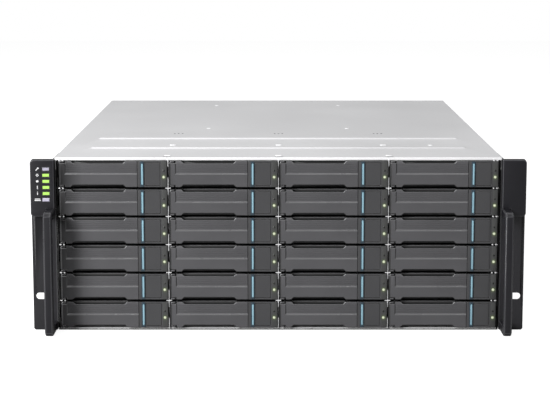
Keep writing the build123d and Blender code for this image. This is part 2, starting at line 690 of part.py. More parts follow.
with BuildSketch() as axle_hole:
    RegularPolygon(AXLE_RADIUS + AXLE_FIT, ROUND_SIDES, major_radius=False)


def pivot_x(side):
    """Where a controller's ejector turns, near the canister's outer edge."""
    return side * (module_x + module_width / 2 - EJECTOR_INSET)


def controller(side):
    """One canister: body, rear face with ports and vents, and two lugs that hold the ejector's pin."""
    centre = side * module_x
    with BuildPart() as canister:
        with BuildSketch(front(MODULE_FRONT)):
            with Locations((centre, controller_z + CONTROLLER_HEIGHT / 2)):
                Rectangle(module_width, CONTROLLER_HEIGHT)
        extrude(amount=-MODULE_DEPTH)
        with BuildSketch(front(MODULE_REAR)):
            with Locations((centre - side * PORT_OFFSET, port_z)):
                with GridLocations(PORT_PITCH, 1, PORT_COUNT, 1):
                    Rectangle(PORT_WIDTH, PORT_HEIGHT)
            with Locations((centre + side * NETWORK_OFFSET, network_z)):
                Rectangle(NETWORK_WIDTH, NETWORK_HEIGHT)
        extrude(amount=PORT_DEPTH, mode=Mode.SUBTRACT)
        with BuildSketch(front(MODULE_REAR)):
            with Locations((centre, controller_z + CONTROLLER_HEIGHT - SLIT_DROP)):
                with GridLocations(module_width / (SLIT_COUNT + 1), 1, SLIT_COUNT, 1):
                    Rectangle(SLIT_WIDTH, SLIT_HEIGHT)
        extrude(amount=SLIT_DEPTH, mode=Mode.SUBTRACT)
        for level in (-1, 1):
            z = ejector_z + level * (EJECTOR_HEIGHT / 2 + RUNNING_GAP + LUG / 2)
            with BuildSketch(Plane.XY.offset(z)):
                with Locations((pivot_x(side), MODULE_REAR + (EJECTOR_DEPTH + RUNNING_GAP) / 2)):
                    Rectangle(LUG_WIDTH, EJECTOR_DEPTH + RUNNING_GAP)
                with Locations((pivot_x(side), pivot_y)):
                    add(axle_hole.sketch, mode=Mode.SUBTRACT)
            extrude(amount=LUG / 2, both=True)
    return canister.part


def ejector(side):
    """The lever across a canister's foot, with its pivot pin and a thumb tab at the free end."""
    free_end = pivot_x(side) - side * EJECTOR_LENGTH
    with BuildPart() as lever:
        with BuildSketch(Plane.XY.offset(ejector_z)) as outline:
            with Locations(((pivot_x(side) + free_end) / 2, pivot_y)):
                Rectangle(EJECTOR_LENGTH + EJECTOR_DEPTH, EJECTOR_DEPTH)
            chamfer(outline.vertices(), EJECTOR_END)
            with Locations((free_end + side * THUMB_WIDTH, pivot_y + THUMB_REACH / 2)):
                Rectangle(THUMB_WIDTH, THUMB_REACH)
        extrude(amount=EJECTOR_HEIGHT / 2, both=True)
        with BuildSketch(Plane.XY.offset(ejector_z)):
            with Locations((pivot_x(side), pivot_y)):
                RegularPolygon(AXLE_RADIUS, ROUND_SIDES)
        extrude(amount=EJECTOR_HEIGHT / 2 + LUG, both=True)
    return lever.part


for side, hand in ((-1, "left"), (1, "right")):
    keep(controller(side), f"{hand}_controller")
    keep(ejector(side), f"{hand}_controller_lever")

# Power modules: a supply with a mains inlet, a fixed loop handle, a sprung latch and a cooling fan
FAN_RIM = 1.5
FAN_SETBACK = 8.0
GUARD = 2.0
INLET_WIDTH = 27.0
INLET_HEIGHT = 20.0
INLET_DEPTH = 16.0
INLET_LEVEL = 20.0
INLET_PIN_WIDTH = 2.0
INLET_PIN_HEIGHT = 4.0
INLET_PIN_PITCH = 7.0
INLET_PIN_COUNT = 3
INLET_PIN_SETBACK = 4.0
LOOP_WIDTH = 70.0
LOOP_BAR = 6.0
LOOP_DROP = 22.0
LOOP_CORNER = 4.0
LATCH_WIDTH = 16.0
LATCH_HEIGHT = 9.0
LATCH_TRAVEL = 3.0
LATCH_RECESS = 6.0
LATCH_DROP = 4.0
LATCH_PROUD = 1.0
RIB_HEIGHT = 2.0
RIB_WIDTH = 2.0
RIB_PITCH = 5.0
RIB_COUNT = 3
HUB_GAP = 0.6
ROTOR_SETBACK = 6.0
fan_offset = module_width * FAN_SHARE
fan_z = power_z + power_height / 2
fan_chamber = MODULE_REAR - FAN_DEPTH - FAN_SETBACK
rotor_length = FAN_DEPTH - ROTOR_SETBACK
rotor_front = fan_chamber + HUB_GAP
loop_z = power_z + power_height - LOOP_DROP
latch_z = power_z + power_height / 2 - LATCH_DROP
inlet_z = power_z + INLET_LEVEL


def power_module(side):
    """One module: body with a round fan chamber, its guard, axle, inlet, latch recess and loop handle."""
    centre = side * module_x
    fan_x = centre - side * fan_offset
    right_x = centre + side * fan_offset
    with BuildPart() as module:
        with BuildSketch(front(MODULE_FRONT)):
            with Locations((centre, power_z + power_height / 2)):
                Rectangle(module_width, power_height)
        extrude(amount=-MODULE_DEPTH)
        with BuildSketch(front(MODULE_REAR)):
            with Locations((fan_x, fan_z)):
                Circle(FAN_RADIUS + FAN_RIM)
        extrude(amount=MODULE_REAR - fan_chamber, mode=Mode.SUBTRACT)
        with BuildSketch(front(fan_chamber)):
            with Locations((fan_x, fan_z)):
                RegularPolygon(AXLE_RADIUS, ROUND_SIDES)
        extrude(amount=-(rotor_length + HUB_GAP))
        with BuildSketch(front(MODULE_REAR)):
            with Locations((fan_x, fan_z)):
                with GridLocations(GRILLE_PITCH, 1, GRILLE_COUNT, 1):
                    Rectangle(GRILLE_BAR, 2 * FAN_RADIUS)
                Rectangle(2 * FAN_RADIUS + 2 * FAN_RIM + GRILLE_BAR, GRILLE_BAR)
                Rectangle(GRILLE_BAR, 2 * FAN_RADIUS + 2 * FAN_RIM + GRILLE_BAR)
        extrude(amount=GUARD)
        with BuildSketch(front(MODULE_REAR)):
            with Locations((right_x, inlet_z)):
                Rectangle(INLET_WIDTH, INLET_HEIGHT)
        extrude(amount=INLET_DEPTH, mode=Mode.SUBTRACT)
        with BuildSketch(front(MODULE_REAR - INLET_DEPTH)):
            with Locations((right_x, inlet_z)):
                with GridLocations(INLET_PIN_PITCH, 1, INLET_PIN_COUNT, 1):
                    Rectangle(INLET_PIN_WIDTH, INLET_PIN_HEIGHT)
        extrude(amount=-(INLET_DEPTH - INLET_PIN_SETBACK))
        with BuildSketch(front(MODULE_REAR)):
            with Locations((right_x, latch_z)):
                Rectangle(LATCH_WIDTH + LATCH_TRAVEL + 2 * RUNNING_GAP, LATCH_HEIGHT + 2 * RUNNING_GAP)
        extrude(amount=LATCH_RECESS, mode=Mode.SUBTRACT)
        with BuildSketch(Plane.XY.offset(loop_z)):
            with Locations((right_x, MODULE_REAR + REAR_REACH / 2)):
                Rectangle(LOOP_WIDTH, REAR_REACH)
            with Locations((right_x, MODULE_REAR + (REAR_REACH - LOOP_BAR) / 2)):
                Rectangle(LOOP_WIDTH - 2 * LOOP_BAR, REAR_REACH - LOOP_BAR, mode=Mode.SUBTRACT)
        extrude(amount=LOOP_BAR, both=True)
        loop_corners = module.edges().filter_by(Axis.Z).group_by(Axis.Y)[-1]
        chamfer(loop_corners, LOOP_CORNER)
    return module.part


def power_latch(side):
    """The sprung latch: a block in the recess with a ribbed thumb piece standing proud."""
    right_x = side * (module_x + fan_offset)
    start = right_x + side * LATCH_TRAVEL / 2
    with BuildPart() as latch:
        with BuildSketch(front(MODULE_REAR - LATCH_RECESS + RUNNING_GAP)):
            with Locations((start, latch_z)):
                Rectangle(LATCH_WIDTH, LATCH_HEIGHT)
        extrude(amount=-(LATCH_RECESS - RUNNING_GAP + LATCH_PROUD))
        with BuildSketch(front(MODULE_REAR + LATCH_PROUD)):
            with Locations((start, latch_z)):
                with GridLocations(RIB_PITCH, 1, RIB_COUNT, 1):
                    Rectangle(RIB_WIDTH, LATCH_HEIGHT)
        extrude(amount=-RIB_HEIGHT)
    return latch.part


BLADE_THICKNESS = 1.4
BLADE_BOW = 2.2
BLADE_MARGIN = 1.5
HUB_SIDES = 21


def fan_rotor(side):
    """A hub on the axle and its blades, each a thin bowed section run out radially from inside the hub."""
    half = rotor_length / 2 - BLADE_MARGIN
    middle = rotor_length / 2
    with BuildPart() as rotor:
        with BuildSketch():
            RegularPolygon(HUB_RADIUS, HUB_SIDES)
            add(axle_hole.sketch, mode=Mode.SUBTRACT)
        extrude(amount=rotor_length)
        with BuildSketch(Plane.YZ.offset(HUB_RADIUS - BLADE_MARGIN)):
            with BuildLine():
                Polyline(
                    (-half, middle - half),
                    (BLADE_BOW, middle - BLADE_BOW),
                    (half, middle + half),
                    (half - BLADE_THICKNESS, middle + half),
                    (BLADE_BOW - BLADE_THICKNESS, middle - BLADE_BOW + BLADE_THICKNESS),
                    (-half, middle - half + BLADE_THICKNESS),
                    close=True,
                )
            make_face()
        blade = extrude(amount=FAN_RADIUS - HUB_RADIUS, mode=Mode.PRIVATE)
        with PolarLocations(0, BLADE_COUNT):
            add(blade)
    centre = (side * (module_x - fan_offset), rotor_front, fan_z)
    place = Plane(origin=centre, x_dir=(1, 0, 0), z_dir=(0, 1, 0))
    return rotor.part.moved(place.location)


for side, hand in ((-1, "left"), (1, "right")):
    keep(power_module(side), f"{hand}_power_module")
    keep(power_latch(side), f"{hand}_power_latch")
    keep(fan_rotor(side), f"{hand}_fan_rotor")

os.makedirs("parts", exist_ok=True)
for part in finished:
    export_step(part, f"parts/{part.label}.step")
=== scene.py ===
"""Storage array, four units high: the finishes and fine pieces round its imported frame, in metres."""
import json
from math import cos, pi, radians, sin

import bmesh
import bpy
import numpy as np
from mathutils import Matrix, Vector


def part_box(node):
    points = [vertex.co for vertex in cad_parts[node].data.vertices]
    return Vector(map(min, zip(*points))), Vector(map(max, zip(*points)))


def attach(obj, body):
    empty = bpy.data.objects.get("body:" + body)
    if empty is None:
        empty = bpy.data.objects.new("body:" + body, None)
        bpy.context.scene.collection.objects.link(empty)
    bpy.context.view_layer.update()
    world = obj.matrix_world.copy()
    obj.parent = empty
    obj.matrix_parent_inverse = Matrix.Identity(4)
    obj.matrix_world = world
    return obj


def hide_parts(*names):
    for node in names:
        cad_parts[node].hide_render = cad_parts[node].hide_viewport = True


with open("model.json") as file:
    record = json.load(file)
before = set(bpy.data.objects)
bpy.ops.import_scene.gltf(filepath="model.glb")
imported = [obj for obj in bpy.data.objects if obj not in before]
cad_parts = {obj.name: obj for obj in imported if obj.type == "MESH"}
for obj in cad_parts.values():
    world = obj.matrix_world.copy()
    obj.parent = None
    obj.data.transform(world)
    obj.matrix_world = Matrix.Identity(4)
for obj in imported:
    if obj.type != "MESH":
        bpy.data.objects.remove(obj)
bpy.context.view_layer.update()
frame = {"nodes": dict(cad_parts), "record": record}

# Body sheet: the pan and the top cover are folded from pre-coated steel, pale grey with a satin sheen.
# The coat is faintly cloudy, with hair-fine rolling lines along the depth, and every cut edge is eased.


def add_node(tree, kind, values=None, **settings):
    """One shader node with its settings, and its inputs set or linked by name or number."""
    node = tree.nodes.new(kind)
    for name, value in settings.items():
        setattr(node, name, value)
    for name, value in (values or {}).items():
        if isinstance(value, bpy.types.NodeSocket):
            tree.links.new(value, node.inputs[name])
        else:
            node.inputs[name].default_value = value
    return node


def calculate(tree, operation, *values):
    """One Math node's result."""
    return add_node(tree, "ShaderNodeMath", dict(enumerate(values)), operation=operation).outputs[0]


def blend_colours(tree, share, first, second):
    """The first colour where the share is 0 and the second where it is 1."""
    values = {0: share, 6: first, 7: second}
    return add_node(tree, "ShaderNodeMix", values, data_type="RGBA").outputs[2]


def scale_colour(tree, colour, share):
    """A colour multiplied by a number."""
    return add_node(tree, "ShaderNodeVectorMath", {0: colour, 3: share}, operation="SCALE").outputs[0]


def bumped(tree, height, strength, distance):
    """The normal of a bump with this height."""
    values = {"Strength": strength, "Distance": distance, "Height": height}
    return add_node(tree, "ShaderNodeBump", values).outputs[0]


def new_group(name, inputs, outputs):
    """An empty shader node group with number or colour inputs; returns it with its two end nodes."""
    group = bpy.data.node_groups.new(name, "ShaderNodeTree")
    for label, value in inputs.items():
        kind = "NodeSocketColor" if isinstance(value, tuple) else "NodeSocketFloat"
        group.interface.new_socket(label, in_out="INPUT", socket_type=kind).default_value = value
    for label, kind in outputs.items():
        group.interface.new_socket(label, in_out="OUTPUT", socket_type=kind)
    return group, group.nodes.new("NodeGroupInput"), group.nodes.new("NodeGroupOutput")


def use_group(tree, group, **values):
    """One use of a node group, with its inputs set or linked by name."""
    node = add_node(tree, "ShaderNodeGroup", node_tree=group)
    for name, value in values.items():
        if isinstance(value, bpy.types.NodeSocket):
            tree.links.new(value, node.inputs[name])
        else:
            node.inputs[name].default_value = value
    return node.outputs


def new_material(name):
    """An empty material; returns it with its node tree and output node."""
    material = bpy.data.materials.new(name)
    material.use_nodes = True
    material.node_tree.nodes.clear()
    return material, material.node_tree, material.node_tree.nodes.new("ShaderNodeOutputMaterial")


def use_shader(tree, output, values):
    """A Principled BSDF with the given inputs, joined to the material's output."""
    node = add_node(tree, "ShaderNodeBsdfPrincipled", values)
    tree.links.new(node.outputs[0], output.inputs[0])


def make_cloudy_tint():
    """Group: a colour that drifts a little over the surface, with a roughness that drifts along with it."""
    group, start, end = new_group(
        "cloudy_tint",
        {"Colour": (0.5, 0.5, 0.5, 1.0), "Drift": 0.1, "Scale": 20.0, "Roughness": 0.4, "Spread": 0.06},
        {"Colour": "NodeSocketColor", "Roughness": "NodeSocketFloat"},
    )
    place = add_node(group, "ShaderNodeTexCoord").outputs["Object"]
    values = {"Vector": place, "Scale": start.outputs["Scale"], "Detail": 4.0}
    cloud = add_node(group, "ShaderNodeTexNoise", values)
    centred = calculate(group, "MULTIPLY_ADD", cloud.outputs[0], 2.0, -1.0)
    gain = calculate(group, "MULTIPLY_ADD", centred, start.outputs["Drift"], 1.0)
    rough = calculate(group, "MULTIPLY_ADD", centred, start.outputs["Spread"], start.outputs["Roughness"])
    group.links.new(scale_colour(group, start.outputs["Colour"], gain), end.inputs["Colour"])
    group.links.new(rough, end.inputs["Roughness"])
    return group


def make_rolled_lines():
    """Group: the height of fine lines along Y, from noise stretched along the body's depth."""
    inputs, outputs = {"Scale": 260.0, "Stretch": 0.02}, {"Height": "NodeSocketFloat"}
    group, start, end = new_group("rolled_lines", inputs, outputs)
    place = add_node(group, "ShaderNodeTexCoord").outputs["Object"]
    split = add_node(group, "ShaderNodeSeparateXYZ", {0: place})
    along = calculate(group, "MULTIPLY", split.outputs[1], start.outputs["Stretch"])
    joined = add_node(group, "ShaderNodeCombineXYZ", {0: split.outputs[0], 1: along, 2: split.outputs[2]})
    values = {"Vector": joined.outputs[0], "Scale": start.outputs["Scale"], "Detail": 3.0}
    noise = add_node(group, "ShaderNodeTexNoise", values)
    group.links.new(noise.outputs[0], end.inputs["Height"])
    return group


CLOUDY_TINT = make_cloudy_tint()
ROLLED_LINES = make_rolled_lines()


def cloudy(tree, colour, drift, scale, roughness, spread):
    """The shader inputs that a cloudy tint feeds: base colour and roughness."""
    tint = use_group(
        tree, CLOUDY_TINT, Colour=colour, Drift=drift, Scale=scale, Roughness=roughness, Spread=spread)
    return {"Base Color": tint["Colour"], "Roughness": tint["Roughness"]}


def sheet_finish(name, colour, roughness, metallic, drift=0.05):
    """Coated or bare sheet: cloudy tint, rolling lines in the bump."""
    material, tree, output = new_material(name)
    lines = use_group(tree, ROLLED_LINES, Scale=300.0, Stretch=0.02)["Height"]
    use_shader(tree, output, {
        **cloudy(tree, (*colour, 1), drift, 9.0, roughness, 0.08), "Metallic": metallic,
        "Normal": bumped(tree, lines, 0.12, 0.0002),
    })
    return material


def dress(material, *nodes):
    """Give frame nodes a material in their own slots."""
    for name in nodes:
        for slot in frame["nodes"][name].material_slots:
            slot.material = material


BODY_OF = {node: body for body, nodes in frame["record"]["behaviour"]["bodies"].items() for node in nodes}
SHARP = radians(32)
WELD = 1e-6


def eased_copy(node, ease, face_finish, edge_finish, *more_finishes):
    """A welded copy of a CAD node, shown in its place, with its sharp edges eased by a narrow bevel."""
    mesh = frame["nodes"][node].data.copy()
    work = bmesh.new()
    work.from_mesh(mesh)
    bmesh.ops.remove_doubles(work, verts=work.verts, dist=WELD)
    work.to_mesh(mesh)
    work.free()
    mesh.materials.clear()
    for finish in (face_finish, edge_finish or face_finish, *more_finishes):
        mesh.materials.append(finish)
    mesh.polygons.foreach_set("material_index", np.zeros(len(mesh.polygons), dtype=np.int32))
    mesh.shade_smooth()
    mesh.set_sharp_from_angle(angle=SHARP)
    piece = bpy.data.objects.new(f"{node}_eased", mesh)
    bpy.context.scene.collection.objects.link(piece)
    bevel = piece.modifiers.new("eased_edges", "BEVEL")
    bevel.width = ease
    bevel.segments = 2
    bevel.limit_method = "ANGLE"
    bevel.use_clamp_overlap = False
    bevel.angle_limit = SHARP
    bevel.material = 1 if edge_finish else -1
    bevel.harden_normals = True
    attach(piece, BODY_OF[node])
    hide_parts(node)
    return piece


def refinish(piece, choose):
    """Give faces of an eased copy another finish: choose(centres, normals) returns their numbers."""
    mesh = piece.data
    centres, normals = np.empty(len(mesh.polygons) * 3), np.empty(len(mesh.polygons) * 3)
    mesh.polygons.foreach_get("center", centres)
    mesh.polygons.foreach_get("normal", normals)
    numbers = choose(centres.reshape(-1, 3), normals.reshape(-1, 3))
    mesh.polygons.foreach_set("material_index", numbers.astype(np.int32))


BEAD_RISE = 0.0013
SQUARE_ON = 0.9
body_sheet = sheet_finish("body_sheet", (0.67, 0.67, 0.68), 0.42, 0.10)
# Painted highlight: a lighter copy of the body sheet's colour for the hem, pressed pads and dimples.
painted_highlight_sheet = sheet_finish("painted_highlight_sheet", (0.86, 0.86, 0.87), 0.30, 0.05)
# Painted shade: a near-black sheet colour stands for the shade in the dark gaps beside the trays.
painted_shade_sheet = sheet_finish("painted_shade_sheet", (0.004, 0.004, 0.004), 0.9, 0.0)
pan_low, pan_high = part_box("chassis_pan")
WALL = 0.0013


def choose_pan_finish(centres, normals):
    """The pan's front edge and the inner faces of its side walls get painted shade, a near-black colour for
    the dark gap; everything else is coated.
    """
    edge = (normals[:, 1] < -SQUARE_ON) & (centres[:, 1] < pan_low[1] + WALL)
    by_wall = np.abs(centres[:, 0]) > pan_high[0] - WALL
    inner = by_wall & (normals[:, 0] * centres[:, 0] < -SQUARE_ON * pan_high[0])
    return (edge | inner) * 2


refinish(eased_copy("chassis_pan", 0.0001, body_sheet, None, painted_shade_sheet), choose_pan_finish)
bead_sheet = sheet_finish("bead_sheet", (0.66, 0.66, 0.67), 0.34, 0.05)
top_cover = eased_copy("top_cover", 0.0003, body_sheet, bead_sheet)
top_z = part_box("top_cover")[1][2] - BEAD_RISE
refinish(top_cover, lambda centres, normals: centres[:, 2] > top_z + BEAD_RISE / 4)

# Marks on the top cover: a rolled hem along its front, pressed location pads, rivets and dimples.
# All are formed in the sheet itself, apart from the blind rivets, which are dark steel; the hem, pads and
# dimples take a lighter copy of the sheet's colour, a painted highlight, and the slots are dark pads,
# painted shade.
TOP_FACE = np.array([(1, 0, 0), (0, 1, 0), (0, 0, 1)], dtype=float)
FOOT_DEPTH = 0.0001


def rounded_outline(width, height, corner, steps=3):
    """Rounded rectangle: quarter circles about its inner corners, with the directions pointing outwards."""
    quarter = np.arange(4)[:, None] * pi / 2
    turn = quarter + np.linspace(0, pi / 2, steps + 1)
    outward = np.stack([np.cos(turn), np.sin(turn)], axis=-1)
    side = np.stack([np.sign(np.cos(quarter + pi / 4)), np.sign(np.sin(quarter + pi / 4))], axis=-1)
    inner = side * np.array([width / 2 - corner, height / 2 - corner])
    return (inner + corner * outward).reshape(-1, 2), outward.reshape(-1, 2)


def carried(outline, profile, place, face, finish=0, closed=False):
    """A profile carried round an outline: each point leaves the outline along its outward direction by
    the profile's offset, in the face's plane, and leaves the plane by the profile's height."""
    points, outward = outline
    offset, height = np.asarray(profile, dtype=float).T[:, :, None, None]
    flat = points + outward * offset
    grid = np.asarray(place) + flat[..., :1] * face[0] + flat[..., 1:] * face[1] + height * face[2]
    return grid, closed, finish


def pad(width, height, corner, rise, place, face, finish=0, steps=3):
    """A low pad with an eased rim, its foot sunk a little into what carries it."""
    rim = min(rise / 2, corner * 0.8)
    profile = [(0, -FOOT_DEPTH), (0, rise - rim), (-rim * 0.3, rise - rim * 0.3), (-rim, rise)]
    return carried(rounded_outline(width, height, corner, steps), profile, place, face, finish)


def dome(radius, rise, place, face, finish=0, steps=4):
    """A round dome: its profile is a quarter of an ellipse, from the rim up to the middle."""
    turn = np.linspace(0, pi / 2, steps + 1)
    profile = np.stack([-radius * (1 - np.cos(turn)), rise * np.sin(turn)], axis=-1)
    profile = np.concatenate([[(0, -FOOT_DEPTH)], profile])
    return carried(rounded_outline(2 * radius, 2 * radius, radius, steps), profile, place, face, finish)


def build_piece(name, body, finishes, sheets, shift=(0, 0, 0)):
    """One mesh from carried profiles. Each cell of a grid is a quad, and an open profile's first and last
    rows are end faces; then the points are welded and the faces turned outwards."""
    points, faces, numbers, start = [], [], [], 0
    for grid, closed, finish in sheets:
        index = start + np.arange(grid.shape[0] * grid.shape[1]).reshape(grid.shape[:2])
        first = index if closed else index[:-1]
        second = np.roll(index, -1, axis=0) if closed else index[1:]
        cells = np.stack([first, np.roll(first, -1, 1), np.roll(second, -1, 1), second], axis=-1)
        ends = [] if closed else [index[0].tolist(), index[-1].tolist()]
        added = cells.reshape(-1, 4).tolist() + ends
        faces += added
        numbers += [finish] * len(added)
        points.append(grid.reshape(-1, 3))
        start += index.size
    mesh = bpy.data.meshes.new(name)
    mesh.from_pydata((np.concatenate(points) + np.asarray(shift)).tolist(), [], faces)
    mesh.polygons.foreach_set("material_index", numbers)
    work = bmesh.new()
    work.from_mesh(mesh)
    bmesh.ops.remove_doubles(work, verts=work.verts, dist=WELD)
    bmesh.ops.recalc_face_normals(work, faces=work.faces)
    work.to_mesh(mesh)
    work.free()
    for finish in finishes:
        mesh.materials.append(finish)
    mesh.shade_smooth()
    mesh.set_sharp_from_angle(angle=SHARP)
    piece = bpy.data.objects.new(name, mesh)
    bpy.context.scene.collection.objects.link(piece)
    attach(piece, body)
    return piece


def corners(node):
    """Lowest and highest corners of a CAD node, as arrays."""
    low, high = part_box(node)
    return np.array(low), np.array(high)


HEM_RADIUS, HEM_DEPTH = 0.0015, 0.0009
PRESSED_PAD, COVER_SLOT = (0.0062, 0.0022, 0.0010, 0.0006), (0.0080, 0.0012, 0.0005, 0.0002)
RIVET, DIMPLE = (0.0011, 0.0004), (0.0026, 0.0005)
MARK_COLUMNS = (-0.1085, 0.0005, 0.1085)
PAD_SETBACKS = (0.012, 0.088)
SLOT_SETBACK = 0.004
RIVET_SETBACK = 0.180
RIVET_STEP = 0.0042
DIMPLE_PLACES = ((-0.0775, 0.226), (0.0775, 0.226), (-0.0775, 0.460), (0.0775, 0.460), (0.157, 0.088))
cover_low, cover_high = corners("top_cover")
front_y = cover_low[1]
# Dark steel for the blind rivets, and painted shade for the slots, which are drawn as dark pads.
rivet_steel_and_slot_shade = sheet_finish("rivet_steel_and_slot_shade", (0.16, 0.16, 0.17), 0.4, 0.5)
hem = rounded_outline(cover_high[0] - cover_low[0], 2 * HEM_RADIUS, HEM_RADIUS)
FRONT_FACE = np.array([(1, 0, 0), (0, 0, 1), (0, -1, 0)], dtype=float)
hem_turn = np.linspace(0, pi / 2, 6)
hem_profile = HEM_DEPTH * np.stack([np.cos(hem_turn) - 1, np.sin(hem_turn)], axis=-1)
hem_place = ((cover_low[0] + cover_high[0]) / 2, front_y, top_z - HEM_RADIUS)
cover_marks = [carried(hem, hem_profile, hem_place, FRONT_FACE, 1)]
for x in MARK_COLUMNS:
    for setback in PAD_SETBACKS:
        cover_marks.append(pad(*PRESSED_PAD, (x, front_y + setback, top_z), TOP_FACE, 1))
    # Each slot is a dark pad: painted shade standing for the dark inside of the slot.
    cover_marks.append(pad(*COVER_SLOT, (x, front_y + SLOT_SETBACK, top_z), TOP_FACE, 2))
    for step in (-1, 0, 1):
        place = (x + step * RIVET_STEP, front_y + RIVET_SETBACK, top_z)
        cover_marks.append(dome(*RIVET, place, TOP_FACE, 2))
for x, setback in DIMPLE_PLACES:
    cover_marks.append(dome(*DIMPLE, (x, front_y + setback, top_z), TOP_FACE, 1))
build_piece("cover_marks", "chassis", (body_sheet, painted_highlight_sheet, rivet_steel_and_slot_shade), cover_marks)

# Drive cage, tray guides and module bay: bare bright sheet with brushed faces and cut edges.
# The cage's outer walls stand in the dark gap beside the ears, so their front ends get painted shade, a
# near-black colour.
bright_steel = sheet_finish("bright_steel", (0.92, 0.92, 0.93), 0.30, 0.35)
dress(bright_steel, "tray_guides", "module_bay")
cage_low, cage_high = corners("drive_cage")
WALL_WIDTH, PAINTED_SHADE_DEPTH = 0.001, 0.012


def choose_cage_finish(centres, normals):
    """The outer walls' front ends get painted shade; everything else is bright."""
    outer = np.minimum(centres[:, 0] - cage_low[0], cage_high[0] - centres[:, 0]) < WALL_WIDTH
    return (outer & (centres[:, 1] < cage_low[1] + PAINTED_SHADE_DEPTH)) * 2


refinish(eased_copy("drive_cage", 0.00015, bright_steel, None, painted_shade_sheet), choose_cage_finish)
FINGER_SIZE, FINGER_RISE, FINGER_STEP, FINGER_START = 0.0018, 0.0008, 0.0033, 0.001
GUIDE_HALF = 0.0004
guide_low, guide_high = corners("tray_guides")
gap_levels = np.linspace(guide_low[2] + GUIDE_HALF, guide_high[2] - GUIDE_HALF, 5)
gap_levels = np.append(gap_levels, 2 * gap_levels[-1] - gap_levels[-2] - 2 * GUIDE_HALF)
fingers = []
for z in gap_levels:
    for side in (-1, 1):
        for step in (1, 2):
            x = side * (cage_high[0] - step * FINGER_STEP + FINGER_START)
            fingers.append(dome(FINGER_SIZE / 2, FINGER_RISE, (x, cage_low[1], z), FRONT_FACE, 0, 2))
build_piece("gap_fingers", "chassis", (bright_steel,), fingers)

# Boards: green solder mask over fine traces on the backplane and the lamp board.
# The drives' plugs are black nylon, moulded with a faint grain.


def make_moulding_grain():
    """Group: the height of a moulding or powder-coat grain, from two sizes of noise."""
    inputs, outputs = {"Scale": 900.0, "Coarse": 0.3}, {"Height": "NodeSocketFloat"}
    group, start, end = new_group("moulding_grain", inputs, outputs)
    place = add_node(group, "ShaderNodeTexCoord").outputs["Object"]
    scale = start.outputs["Scale"]
    fine = add_node(group, "ShaderNodeTexNoise", {"Vector": place, "Scale": scale, "Detail": 2.0})
    wide_scale = calculate(group, "MULTIPLY", scale, 0.2)
    wide = add_node(group, "ShaderNodeTexNoise", {"Vector": place, "Scale": wide_scale, "Detail": 2.0})
    height = calculate(group, "MULTIPLY_ADD", wide.outputs[0], start.outputs["Coarse"], fine.outputs[0])
    group.links.new(height, end.inputs["Height"])
    return group


MOULDING_GRAIN = make_moulding_grain()


def moulded_finish(name, colour, roughness, grain=700.0, strength=0.12, drift=0.12, **more):
    """Moulded or powder-coated surface: cloudy tint and a fine grain in the bump."""
    material, tree, output = new_material(name)
    height = use_group(tree, MOULDING_GRAIN, Scale=grain, Coarse=0.4)["Height"]
    use_shader(tree, output, {
        **cloudy(tree, (*colour, 1), drift, 30.0, roughness, 0.1),
        "Normal": bumped(tree, height, strength, 0.0003), **more,
    })
    return material


def board_finish(name, mask, trace):
    """Solder mask with rows of slightly lighter traces, from the mortar lines of a brick pattern."""
    material, tree, output = new_material(name)
    place = add_node(tree, "ShaderNodeTexCoord").outputs["Object"]
    turned = add_node(tree, "ShaderNodeMapping", {"Vector": place, "Rotation": (pi / 2, 0, 0)}).outputs[0]
    lines = add_node(tree, "ShaderNodeTexBrick", {
        "Vector": turned, "Scale": 60.0, "Mortar Size": 0.02, "Color1": (0, 0, 0, 1), "Color2": (0, 0, 0, 1),
        "Mortar": (1, 1, 1, 1),
    }).outputs[1]
    colour = blend_colours(tree, lines, (*mask, 1), (*trace, 1))
    use_shader(tree, output, {
        **cloudy(tree, colour, 0.08, 25.0, 0.3, 0.05), "Normal": bumped(tree, lines, 0.2, 0.0001),
    })
    return material


board_mask = board_finish("board_mask", (0.008, 0.08, 0.03), (0.03, 0.16, 0.06))
dress(board_mask, "backplane_board", "status_board")
black_nylon = moulded_finish("black_nylon", (0.02, 0.02, 0.021), 0.45)
dress(black_nylon, "drive_connectors")

# Rack ears: angles of black powder-coated sheet, screwed to the rack's posts through their slots.
# Powder coat has a fine orange-peel grain; its eased edges are coloured lighter, partly wear of the thin
# coat and partly painted highlight.
ear_coat = moulded_finish("ear_coat", (0.022, 0.0215, 0.0245), 0.40, **{"Specular IOR Level": 0.35})
ear_coat_wear_and_highlight = moulded_finish("ear_coat_wear_and_highlight", (0.06, 0.06, 0.065), 0.3, strength=0.05)
seam_edge_and_highlight = sheet_finish("seam_edge_and_highlight", (0.075, 0.075, 0.078), 0.35, 0.3)
# The seam strip is the side sheet's bare cut edge, coloured lighter than the coat: partly bare metal, partly
# painted highlight.
SEAM_WIDTH, SEAM_RISE, SEAM_INSET = 0.0008, 0.0001, 0.0004
for side, sign in (("left", -1), ("right", 1)):
    eased_copy(f"{side}_ear_bracket", 0.0003, ear_coat, ear_coat_wear_and_highlight)
    ear_low, ear_high = corners(f"{side}_ear_bracket")
    seam_place = (sign * (cover_high[0] - SEAM_INSET), ear_low[1], (ear_low[2] + ear_high[2]) / 2)
    seam_length = ear_high[2] - ear_low[2] - SEAM_WIDTH
    seam = pad(SEAM_WIDTH, seam_length, SEAM_WIDTH / 3, SEAM_RISE, seam_place, FRONT_FACE)
    build_piece(f"{side}_ear_seam", "chassis", (seam_edge_and_highlight,), [seam])

# Ear covers and pull handles: black mouldings, satin, with soft rounded edges.
# The covers clip over the ears' upper half, and each handle is held by two screws from behind.
ear_moulding = moulded_finish("ear_moulding", (0.012, 0.0116, 0.0145), 0.36, **{"Specular IOR Level": 0.35})
